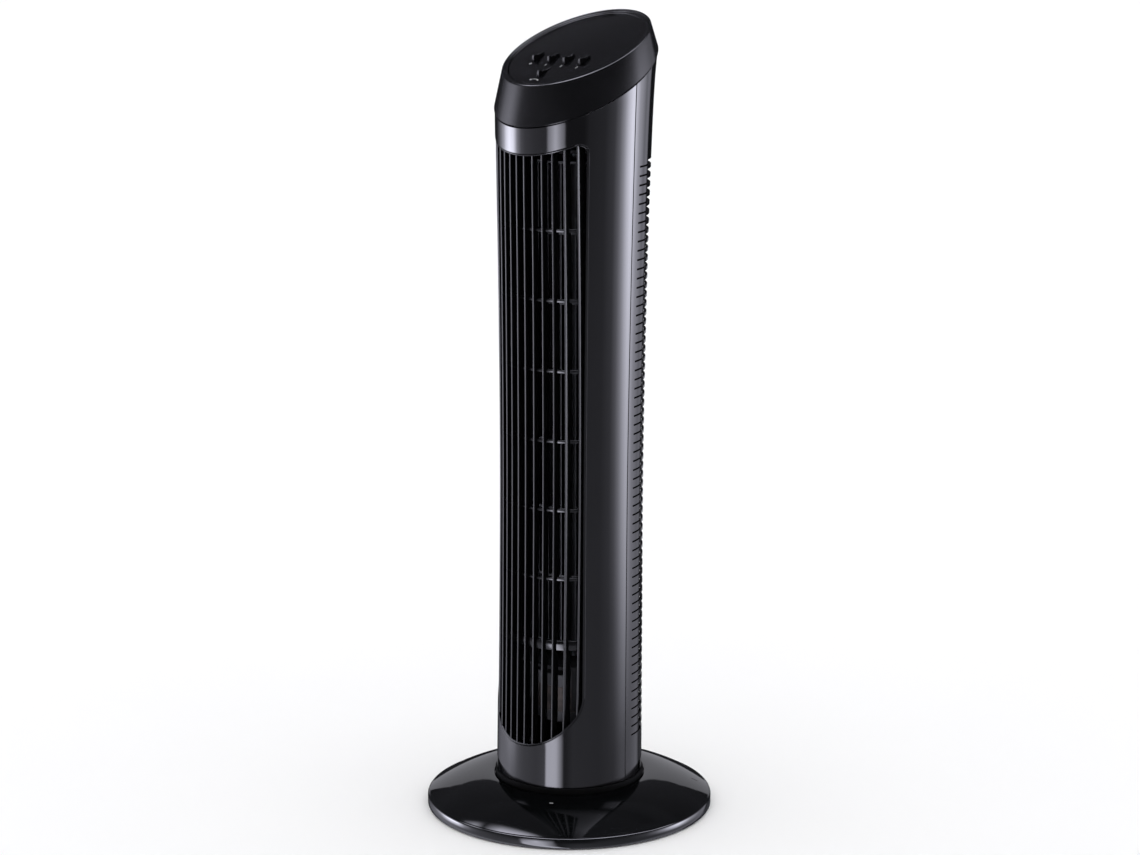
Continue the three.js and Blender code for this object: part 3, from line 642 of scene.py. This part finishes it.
def grille_blades():
    half = BLADE_THICKNESS / 2
    parts = []
    for i in range(BLADE_COUNT):
        x = (i - (BLADE_COUNT - 1) / 2) * BLADE_PITCH
        bottom, top = blade_ends(x)
        rings = []
        for z in spread(30, bottom, top):
            front, rear = front_point(x, z, -0.9).y, front_point(x, z, -0.9 - GRILLE_DEPTH).y
            nose = [(half * math.cos(a), -half * math.sin(a)) for a in spread(9, 0, math.pi)]
            ring = [Vector((x + dx, front + half + dy, z)) for dx, dy in nose]
            ring += [Vector((x - half * 0.8, rear, z)), Vector((x + half * 0.8, rear, z))]
            rings.append(ring)
        parts.append(capped(rings))
    return parts


def grille_frame():
    """Thin bead round the opening, rounded on its front edge."""
    section = [(0.3, -7.9), (0.3, -0.8), (0.55, -0.4), (1.0, -0.25), (1.5, -0.4), (1.9, -0.8), (2.0, -7.9)]
    rows = []
    for inset, offset in section:
        right = [arch_edge(turn, inset) for turn in spread(37, 0, math.pi / 2)]
        top = top_edge(inset)
        right += [(opening_side(z, inset), z) for z in spread(40, OPENING_ARCH_Z, top[-1][1])[1:-1]]
        right += list(reversed(top))
        left = [(-x, z) for x, z in reversed(right[1:-1])]
        rows.append([front_point(x, z, offset) for x, z in right + left])
    return [quads([*rows, rows[0]], closed=True)]


def grille_ribs():
    parts = []
    levels = [(z - RIB_THICKNESS / 2, z + RIB_THICKNESS / 2) for z in RIB_HEIGHTS] + [BAND_RIB]
    for bottom, top in levels:
        middle = (bottom + top) / 2
        end = math.asin((opening_side(middle) - 1.2) / (outline(middle)[0] - 6.5))
        section = [(-5.3, bottom), (-5.0, bottom + 0.3), (-5.0, top - 0.3), (-5.3, top), (-8.2, top),
                   (-8.2, bottom)]
        parts.append(capped([[round_point(a, z, offset) for offset, z in section]
                             for a in spread(41, -end, end)]))
    return parts


def front_grille():
    shape = joined(grille_blades() + grille_frame() + grille_ribs())
    piece("front_grille_moulding", shape, "abs_satin_black_grille", "tower", ["front_grille"],
          sharp=50)


# ---------- head and control panel ----------
def seam_ring(offset, rise, angles):
    ring = []
    for angle in angles:
        z = seam_height(lambda z: round_point(angle, z, offset), rise)
        ring.append(round_point(angle, z, offset))
    return ring


def rim_ring(radius, drop, angles):
    """Ring round in plan on the slanted rim plane, dropped straight down."""
    ring = []
    for angle in angles:
        y = RIM_Y - radius * math.cos(angle)
        ring.append(Vector((radius * math.sin(angle), y, RIM_Z + math.tan(RIM_TILT) * (y - RIM_Y) - drop)))
    return ring


def corner_steps(radius, drop, size, start, end, steps=5):
    """Rings of a rounded edge of this size; start and end are degrees, 0 outward and 90 upward."""
    turns = [math.radians(a) for a in spread(steps, start, end)]
    return [(radius + size * math.cos(a), drop - size * math.sin(a)) for a in turns]


def head():
    angles = [2 * math.pi * i / 180 for i in range(180)]
    skirt = [(-1.4, GAP), (-1.4, SEAM_GROOVE), (0.1, SEAM_GROOVE), (0.4, SEAM_GROOVE + 0.12),
             (0.6, SEAM_GROOVE + 0.4)]
    rings = [seam_ring(offset, rise, angles) for offset, rise in skirt]
    outer, inner = 1.3, 0.6
    profile = corner_steps(RIM_RADIUS - outer, outer, outer, 10, 90)
    profile += corner_steps(RIM_RADIUS - 2.4 + inner, inner, inner, 90, 180)
    profile += [(RIM_RADIUS - 2.6, 1.0), (RIM_RADIUS - 2.8, 1.3), (RIM_RADIUS - 3.1, 1.45)]
    profile += [(PANEL_RADIUS + 0.8, 1.6), (PANEL_RADIUS + 0.45, 1.75), (PANEL_RADIUS + GAP, 2.1)]
    profile += [(PANEL_RADIUS + GAP, PANEL_DEPTH + 2.4), (PANEL_RADIUS - 3, PANEL_DEPTH + 2.4)]
    profile += [(PANEL_RADIUS - 3, PANEL_DEPTH + 4.2), (PANEL_RADIUS + 2.6, PANEL_DEPTH + 4.2)]
    rings += [rim_ring(radius, drop, angles) for radius, drop in profile]
    rings.append(seam_ring(-1.7, GAP, angles))
    piece("head_moulding", quads([*rings, rings[0]], closed=True), "abs_satin_black_eroded", "tower",
          ["head_housing"], sharp=50)


PANEL_FRAME = Matrix.Translation((0, RIM_Y, RIM_Z)) @ Matrix.Rotation(RIM_TILT, 4, "X")
PANEL_TOP = -PANEL_DEPTH * math.cos(RIM_TILT)


# name, place across and up the panel, and side view, which starts with the front and rear of the foot
KEYS = [(f"key_speed_{i}", (i - 1.5) * KEY_PITCH + KEY_OFFSET_X, KEY_ROW_V, SPEED_KEY_SIDE)
        for i in range(4)]
KEYS.append(("key_swing", KEY_OFFSET_X, SWING_KEY_V, SWING_KEY_SIDE))


def plate_with_holes(outlines, thickness, bevel):
    """Flat plate from closed outlines, the inner ones cut through, its edges softened. Its top is at 0."""
    curve = bpy.data.curves.new("plate", "CURVE")
    curve.dimensions, curve.fill_mode = "2D", "BOTH"
    curve.extrude = thickness * MM / 2 - bevel * MM
    curve.bevel_depth, curve.bevel_resolution, curve.offset = bevel * MM, 2, -bevel * MM
    for outline_points in outlines:
        spline = curve.splines.new("POLY")
        spline.points.add(len(outline_points) - 1)
        for point, (x, y) in zip(spline.points, outline_points):
            point.co = (x * MM, y * MM, 0, 1)
        spline.use_cyclic_u = True
    holder = bpy.data.objects.new("plate", curve)
    bpy.context.scene.collection.objects.link(holder)
    bpy.context.view_layer.update()
    mesh = bpy.data.meshes.new_from_object(holder.evaluated_get(bpy.context.evaluated_depsgraph_get()))
    points = [v.co / MM + Vector((0, 0, -thickness / 2)) for v in mesh.vertices]
    faces = [tuple(p.vertices) for p in mesh.polygons]
    bpy.data.objects.remove(holder)
    bpy.data.meshes.remove(mesh)
    bpy.data.curves.remove(curve)
    return points, faces


def on_panel(shape, x=0.0, v=0.0, lift=0.0):
    points, faces = shape
    place = PANEL_FRAME @ Matrix.Translation((x, v, lift))
    return [place @ Vector(p) for p in points], faces


def control_panel():
    deep = PANEL_RADIUS / math.cos(RIM_TILT)
    turns = [2 * math.pi * i / 180 for i in range(180)]
    border = [((PANEL_RADIUS - 0.1) * math.cos(a), (deep - 0.1) * math.sin(a)) for a in turns]
    half = KEY_WIDTH / 2 + KEY_CLEARANCE
    holes = []
    for _, x, v, side in KEYS:
        front, rear = v + side[0][0] - KEY_CLEARANCE, v + side[1][0] + KEY_CLEARANCE
        holes.append([(x - half, front), (x + half, front), (x + half, rear), (x - half, rear)])
    shape = on_panel(plate_with_holes([border, *holes], PANEL_THICKNESS, 0.2), lift=PANEL_TOP)
    piece("control_panel_plate", shape, "abs_satin_black_panel", "tower", ["control_panel"])


def box(x0, x1, y0, y1, z0, z1):
    return capped([[Vector((x0, y0, z)), Vector((x1, y0, z)), Vector((x1, y1, z)), Vector((x0, y1, z))]
                   for z in (z0, z1)])


def keys():
    flange_top = PANEL_TOP - PANEL_THICKNESS - GAP
    flange_bottom = flange_top - FLANGE_THICKNESS
    stem_top = flange_bottom + 0.2
    for name, x, v, side in KEYS:
        fin = capped([[Vector((across, b, PANEL_TOP + c)) for b, c in side]
                      for across in (-KEY_WIDTH / 2, KEY_WIDTH / 2)])
        flange = box(-FLANGE_HALF_WIDTH, FLANGE_HALF_WIDTH, side[0][0] - FLANGE_LIP,
                     side[1][0] + FLANGE_LIP, flange_bottom, flange_top)
        stem = turned([(0.001, STEM_BOTTOM), (STEM_RADIUS, STEM_BOTTOM), (STEM_RADIUS, stem_top),
                       (0.001, stem_top)], 24)
        shape = on_panel(joined([fin, flange, stem]), x, v)
        obj = piece(f"{name}_cap", shape, "abs_key_black", name, [name], sharp=30)
        soften(obj, 0.25, 3, 50)


def arc_arrow():
    """Generic sign for swinging: a shallow arc with an arrowhead at each end."""
    radius, half, line, head_length, head_width = 7.0, math.radians(34), 0.4, 1.6, 1.0
    arc = [(radius * math.sin(a), radius * math.cos(a) - radius) for a in spread(21, -half, half)]
    parts = []
    rows = [[Vector((x * (1 + s * line / radius), (y + radius) * (1 + s * line / radius) - radius, 0))
             for x, y in arc] for s in (-0.5, 0.5)]
    parts.append(quads(rows))
    for side in (-1, 1):
        tip_x, tip_y = side * radius * math.sin(half), radius * math.cos(half) - radius
        along = Vector((side * math.cos(half), -math.sin(half), 0))
        across = Vector((along.y, -along.x, 0))
        tip = Vector((tip_x, tip_y, 0))
        parts.append(([tip + along * head_length, tip + across * head_width, tip - across * head_width],
                      [(0, 1, 2)]))
    return joined(parts)


def digit(text, size):
    """A number as a flat mesh, its middle at the origin."""
    curve = bpy.data.curves.new("digit", "FONT")
    curve.body, curve.size, curve.align_x, curve.align_y = text, size * MM, "CENTER", "CENTER"
    holder = bpy.data.objects.new("digit", curve)
    bpy.context.scene.collection.objects.link(holder)
    bpy.context.view_layer.update()
    mesh = bpy.data.meshes.new_from_object(holder.evaluated_get(bpy.context.evaluated_depsgraph_get()))
    shape = [v.co / MM for v in mesh.vertices], [tuple(p.vertices) for p in mesh.polygons]
    bpy.data.objects.remove(holder)
    bpy.data.meshes.remove(mesh)
    bpy.data.curves.remove(curve)
    return shape


def labels():
    lift = PANEL_TOP + INK_LIFT
    up = PANEL_FRAME.to_3x3() @ Vector((0, 0, 1))
    for i in range(4):
        _, x, v, *_ = KEYS[i]
        shape = on_panel(digit(str(i), DIGIT_SIZE), x + SPEED_LABEL[0], v + SPEED_LABEL[1], lift)
        piece(f"label_speed_{i}", shape, "ink_white_pad_printed", "tower", outward=lambda p: up)
    shape = on_panel(arc_arrow(), KEY_OFFSET_X + SWING_LABEL[0], SWING_KEY_V + SWING_LABEL[1], lift)
    piece("label_swing", shape, "ink_white_pad_printed", "tower", outward=lambda p: up)


# ---------- base ----------
def dome_z(r):
    inward = max((r - COLLAR_RADIUS) / (BASE_RADIUS - COLLAR_RADIUS - 2.5), 0)
    return BASE_RIM_TOP + 1.6 + BASE_DOME_RISE * (1 - inward ** 1.9)


def base_cover():
    edge = [(BASE_RADIUS - 0.9, BASE_RIM_TOP + 0.85), (BASE_RADIUS - 0.35, BASE_RIM_TOP + 0.3),
            (BASE_RADIUS, BASE_RIM_TOP - 0.6)]
    radii = [WELL_RADIUS + 0.5, 75, 78, NOTCH_RADII[0], *spread(6, 84, 97), NOTCH_RADII[1],
             *spread(12, 103, 131), 133, BASE_RADIUS - 2.3, BASE_RADIUS - 1.5]
    profile = [(54, WELL_FLOOR), (WELL_RADIUS, WELL_FLOOR), (WELL_RADIUS, dome_z(WELL_RADIUS) - 0.5)]
    profile += [(WELL_RADIUS + 0.15, dome_z(WELL_RADIUS) - 0.15)]
    profile += [(r, dome_z(r)) for r in radii] + edge
    profile += [(BASE_RADIUS, FOOT_HEIGHT + 3), (BASE_RADIUS, FOOT_HEIGHT)]
    angles = sorted([*range(-180, 180, 2), *NOTCH_ANGLES])
    rows = [[Vector((r * math.sin(math.radians(a)), -r * math.cos(math.radians(a)), z)) for a in angles]
            for r, z in profile]

    def keep(i, j):
        in_radius = NOTCH_RADII[0] <= profile[i][0] and profile[i + 1][0] <= NOTCH_RADII[1]
        in_angle = NOTCH_ANGLES[0] <= angles[j] and j + 1 < len(angles) and angles[j + 1] <= NOTCH_ANGLES[1]
        return not (in_radius and in_angle and profile[i][1] > WELL_FLOOR - 20 and i > 2)

    def up_and_out(p):
        return Vector((p.x / BASE_RADIUS, p.y / BASE_RADIUS, 1)).normalized()

    obj = piece("base_cover_moulding", quads(rows, closed=True, keep=keep), "abs_gloss_black_base", "base",
                ["base_cover"], up_and_out, sharp=32)
    thicken(obj, BASE_WALL - 0.1)


def collar():
    hole, lip, lip_foot = 52, 67.9, 33
    profile = [(hole, WELL_FLOOR + GAP), (COLLAR_RADIUS - 0.3, WELL_FLOOR + GAP)]
    profile += [(COLLAR_RADIUS, WELL_FLOOR + 0.6), (COLLAR_RADIUS, COLLAR_TOP - 0.5)]
    profile += [(COLLAR_RADIUS - 0.15, COLLAR_TOP - 0.15), (COLLAR_RADIUS - 0.5, COLLAR_TOP)]
    profile += [(lip + 0.2, COLLAR_TOP), (lip, COLLAR_TOP - 0.2), (lip, lip_foot)]
    profile += [(hole, lip_foot), (hole, WELL_FLOOR + GAP)]
    # the collar's extra darkness is painted shade where the tower's foot sits in the base
    piece("collar_ring_moulding", turned(profile), "abs_matte_black_collar", "base", ["collar_ring"])


def base_marks():
    """Dark quad on the base's right, painted shade standing for a short slot, and a thin light line near its
    front.
    """
    up = Vector((0, 0, 1))
    for name, material, angle, radius, along, across in (
            # painted shade: a flat dark quad where a slot's hollow would be
            ("base_slot_painted_shade", "abs_matte_black_inside", 136, 122.5, 6.0, 1.3),
            # a thin light line, in the label ink's colour
            ("base_front_mark", "ink_white_pad_printed", 32.5, 92.0, 0.6, 3.6)):
        turn = math.radians(angle)
        out, side = Vector((math.sin(turn), -math.cos(turn), 0)), Vector((math.cos(turn), math.sin(turn), 0))
        corners = []
        for a, b in ((-1, -1), (1, -1), (1, 1), (-1, 1)):
            r = radius + a * along / 2
            corners.append(out * r + side * b * across / 2 + up * (dome_z(r) + 0.06))
        piece(name, (corners, [(0, 1, 2, 3)]), material, "base", outward=lambda p: up)


# ---------- impeller ----------
def impeller():
    parts = []
    count, discs = 36, 8
    pitch = (IMPELLER_TOP - IMPELLER_BOTTOM - 2) / (discs - 1)
    for i in range(discs):
        z = IMPELLER_BOTTOM + i * pitch
        inner = 12.3 if i == 0 else (3.3 if i == discs - 1 else 27)
        ring = [(IMPELLER_RADIUS, z), (IMPELLER_RADIUS, z + 2), (inner, z + 2), (inner, z)]
        ring.append(ring[0])
        parts.append(turned(ring, 72, 0, IMPELLER_Y))
    # forward-curved blades: an arc from the inner to the outer radius
    camber = []
    for t in spread(7):
        radius = lerp(29.5, IMPELLER_RADIUS - 0.2, t)
        camber.append((radius, math.radians(14) * t ** 1.7 + math.radians(4) * math.sin(math.pi * t)))
    for i in range(count):
        turn = 2 * math.pi * i / count
        ring = []
        for side, steps in ((1, camber), (-1, list(reversed(camber)))):
            for radius, lead in steps:
                half = 0.45 * side / radius
                angle = turn + lead + half
                ring.append((radius * math.sin(angle), IMPELLER_Y - radius * math.cos(angle)))
        parts.append(capped([[Vector((x, y, z)) for x, y in ring]
                             for z in (IMPELLER_BOTTOM + 1, IMPELLER_TOP - 1)]))
    piece("impeller_moulding", joined(parts), "polypropylene_charcoal_moulded", "impeller", ["impeller"],
          sharp=30)


# ---------- CAD pieces that stay, with their finishes; some inside ones are black as painted shade ---
FINISHES = {
    "abs_matte_black_inside": [
        "base_plate", "cord_gland", "tower_floor", "motor_bracket", "upper_bracket", "duct_volute",
        # run_capacitor and terminal_block are really pale; black here is painted shade for the tower's dark
        # inside
        "duct_tongue", "inner_lead", "run_capacitor", "terminal_block"],
    "rubber_black_moulded": [
        "foot_pad_1", "foot_pad_2", "foot_pad_3", "foot_pad_4", "foot_pad_5", "drive_coupling",
        "upper_bearing_seat"],
    "nylon_white_moulded": ["slide_washer", "speed_switch", "swing_switch"],
    "zinc_die_cast": ["swing_link_plate", "swing_crank"],
    # these are zinc, black here as painted shade for the tower's dark inside
    "zinc_die_cast_painted": ["motor_lower_cap", "motor_upper_cap", "swing_motor"],
    "steel_drawn_zinc_plated": [
        "pivot_retainer", "motor_shaft", "impeller_top_pin", "base_screw_1", "base_screw_2", "base_screw_3",
        "key_speed_0_spring", "key_speed_1_spring", "key_speed_2_spring", "key_speed_3_spring",
        "key_swing_spring"],
    "steel_laminated_varnished": ["motor_stator", "motor_rotor"],
    "copper_enamelled_wound": ["motor_winding"],
    "bronze_sintered": ["motor_lower_bush", "motor_upper_bush", "upper_bush"],
}


def finish_cad_pieces():
    for material, names in FINISHES.items():
        for name in names:
            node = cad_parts[name]
            for slot in node.material_slots:
                slot.material = MATERIALS[material]
            soften(node, 0.2, 2, 50)


# ---------- studio ----------
# Brightness of the room round the fan, seen from it: at each height in degrees, pairs of heading, in
# degrees from the front towards +X, and brightness. Low soft boxes stand at about -62, 17 and 138
# degrees, two stand higher at about -74 and 145, and a wide one hangs overhead from -84 to 160.
HEAD_ROOM = [
    (-180, 0.5), (-178, 0.02), (-104, 0.03), (-90, 0.3), (-76, 1.5), (-64, 2.5), (-56, 1.8), (-47, 0.55),
    (-33, 0.35), (-4, 0.22), (11, 0.13), (26, 0.09), (57, 0.09), (73, 0.13), (89, 0.22), (105, 0.4),
    (121, 1.1), (137, 3.0), (150, 2.0), (166, 0.8), (180, 0.5)]
FAR_AND_DARK = [(-180, 0.07), (-60, 0.1), (-33, 0.15), (30, 0.08), (120, 0.1), (180, 0.1)]
OVERHEAD = [(-180, 0.1), (-94, 0.1), (-84, 9.0), (160, 9.0), (170, 0.1)]
BESIDE = [(-180, 0.1), (-94, 0.1), (-86, 9.0), (-62, 9.0), (-50, 0.1), (112, 0.1), (124, 9.0), (165, 9.0),
          (172, 0.1)]
ROOM = {
    -18: [(-180, 0.5), (-174, 0.1), (-120, 0.05), (-107, 0.3), (-91, 0.7), (-67, 1.35), (-51, 1.05),
          (-35, 0.85), (-11, 0.75), (4, 1.0), (6, 8.0), (22, 7.8), (32, 1.6), (34, 0.2), (48, 0.5),
          (90, 0.4), (118, 0.5), (134, 0.9), (150, 0.8), (175, 0.7), (180, 0.5)],
    -8: [(-180, 0.85), (-177, 0.8), (-174, 0.02), (-112, 0.02), (-104, 0.12), (-96, 0.5), (-88, 1.5),
         (-80, 3.8), (-72, 10.0), (-65, 14.7), (-56, 14.4), (-48, 4.1), (-40, 1.4), (-32, 0.87), (-15, 0.6),
         (3.5, 0.5), (6, 4.2), (17, 9.3), (25, 5.0), (30, 3.0), (32, 0.12), (58, 0.12), (66, 0.28),
         (90, 0.37), (106, 0.82), (115, 2.3), (123, 5.3), (131, 10.0), (139, 12.7), (147, 7.8), (155, 3.6),
         (171, 1.0)],
    1: HEAD_ROOM,
    10: HEAD_ROOM,
    26: FAR_AND_DARK,
    42: FAR_AND_DARK,
    45: BESIDE,
    50: BESIDE,
    54: FAR_AND_DARK,
    61: OVERHEAD,
    76: OVERHEAD,
    84: FAR_AND_DARK,
}
ROOM_SCALE = 16.0                        # ramps hold values up to 1
SECOND_REFLECTION = 0.15                 # how bright a reflection is inside another reflection
FLOOR_HALF = 14.0                        # metres, as are the card's sizes
CARD_DISTANCE = 0.9
CARD_HEADING = math.radians(-139)


def room_level(tree, heading, stops):
    ramp = add_node(tree, "ShaderNodeValToRGB", links={"Fac": (heading, "Result")})
    elements = ramp.color_ramp.elements
    elements.remove(elements[1])
    for i, (degrees, brightness) in enumerate(stops):
        element = elements[0] if i == 0 else elements.new((degrees + 180) / 360)
        value = brightness / ROOM_SCALE
        element.color = (value * 0.95, value * 0.95, value * 1.1, 1)
    return ramp


def studio_room():
    """Soft even light for matt surfaces, a plain white view, and soft boxes for what gloss reflects."""
    world = bpy.data.worlds.new("studio")
    bpy.context.scene.world = world
    world.use_nodes = True
    world.cycles.sampling_method = "NONE"
    tree = world.node_tree
    tree.nodes.clear()
    where = add_node(tree, "ShaderNodeTexCoord")
    parts = add_node(tree, "ShaderNodeSeparateXYZ", links={0: (where, "Generated")})
    forward = add_node(tree, "ShaderNodeMath", {"operation": "MULTIPLY", 1: -1.0}, {0: (parts, "Y")})
    turn = add_node(tree, "ShaderNodeMath", {"operation": "ARCTAN2"},
                    {0: (parts, "X"), 1: (forward, "Value")})
    heading = add_node(tree, "ShaderNodeMapRange", {"From Min": -math.pi, "From Max": math.pi},
                       {"Value": (turn, "Value")})
    levels = sorted(ROOM)
    colour = room_level(tree, heading, ROOM[levels[0]])
    output = "Color"
    for low, high in zip(levels, levels[1:]):
        limits = {"From Min": math.sin(math.radians(low)), "From Max": math.sin(math.radians(high))}
        height = add_node(tree, "ShaderNodeMapRange", limits, {"Value": (parts, "Z")})
        above = room_level(tree, heading, ROOM[high])
        mixed = add_node(tree, "ShaderNodeMix", {"data_type": "RGBA"})
        tree.links.new(height.outputs["Result"], mixed.inputs["Factor"])
        tree.links.new(colour.outputs[output], mixed.inputs[6])
        tree.links.new(above.outputs["Color"], mixed.inputs[7])
        colour, output = mixed, 2
    rays = add_node(tree, "ShaderNodeLightPath")
    level = add_node(tree, "ShaderNodeMapRange",
                     {"From Min": 2, "From Max": 3, "To Min": ROOM_SCALE,
                      "To Max": ROOM_SCALE * SECOND_REFLECTION},
                     {"Value": (rays, "Ray Depth")})
    boxes = add_node(tree, "ShaderNodeBackground", links={"Strength": (level, "Result")})
    tree.links.new(colour.outputs[output], boxes.inputs["Color"])
    even = add_node(tree, "ShaderNodeBackground", {"Color": linear("#ffffff"), "Strength": 1.12})
    chosen = add_node(tree, "ShaderNodeMixShader", links={0: (rays, "Is Glossy Ray")})
    tree.links.new(even.outputs["Background"], chosen.inputs[1])
    tree.links.new(boxes.outputs["Background"], chosen.inputs[2])
    add_node(tree, "ShaderNodeOutputWorld", links={"Surface": (chosen, "Shader")})


def floor():
    # painted board, matt and nearly white, its roller texture about 4 mm apart
    material, tree, shader, where = start_material("board_white_painted", IOR=1.45, Specular_IOR_Level=0.2)
    vary(tree, shader, where, 300, "#f4f4f5", "#f5f5f6", (0.85, 0.9))
    grain(tree, shader, where, 4, 0.05, 0.2)
    mesh = bpy.data.meshes.new("studio_floor")
    corners = [(x * FLOOR_HALF, y * FLOOR_HALF, 0) for x, y in ((-1, -1), (1, -1), (1, 1), (-1, 1))]
    mesh.from_pydata(corners, [], [(0, 1, 2, 3)])
    mesh.materials.append(material)
    obj = bpy.data.objects.new("studio_floor", mesh)
    bpy.context.scene.collection.objects.link(obj)
    obj.visible_glossy = False


def back_card():
    """Lit white card behind the fan, which only reflections show."""
    material = bpy.data.materials.new("card_white_lit")
    material.use_nodes = True
    tree = material.node_tree
    tree.nodes.clear()
    glow = add_node(tree, "ShaderNodeEmission", {"Color": linear("#f1f1fa"), "Strength": 0.62})
    add_node(tree, "ShaderNodeOutputMaterial", links={"Surface": (glow, "Emission")})
    middle = Vector((math.sin(CARD_HEADING), -math.cos(CARD_HEADING), 0)) * CARD_DISTANCE
    across = Vector((math.cos(CARD_HEADING), math.sin(CARD_HEADING), 0))
    edge = [(-0.49, 0), (0.5, 0), (0.51, 0.27), (0.5, 0.36), (0.44, 0.43), (0.3, 0.445), (0, 0.41),
            (-0.24, 0.44), (-0.38, 0.41), (-0.45, 0.33), (-0.48, 0.24)]
    points = [middle + across * a + Vector((0, 0, b)) for a, b in edge]
    mesh = bpy.data.meshes.new("studio_card")
    mesh.from_pydata(points, [], [tuple(range(len(edge)))])
    mesh.materials.append(material)
    obj = bpy.data.objects.new("studio_card", mesh)
    bpy.context.scene.collection.objects.link(obj)
    obj.visible_camera = obj.visible_diffuse = obj.visible_shadow = False


def camera():
    data = bpy.data.cameras.new("camera")
    data.lens, data.sensor_width, data.sensor_fit = 88.27, 36.0, "HORIZONTAL"
    obj = bpy.data.objects.new("camera", data)
    bpy.context.scene.collection.objects.link(obj)
    obj.location = (1.76876, -1.88770, 0.93455)
    obj.rotation_mode = "QUATERNION"
    obj.rotation_quaternion = Vector((-0.66790, 0.71322, -0.21265)).to_track_quat("-Z", "Y")
    bpy.context.scene.camera = obj


camera()
studio_room()
floor()
back_card()
front_shell()
rear_shell()
rear_ribs()
front_grille()
head()
control_panel()
keys()
labels()
base_cover()
collar()
base_marks()
impeller()
finish_cad_pieces()

bpy.context.scene.view_settings.view_transform = "Standard"
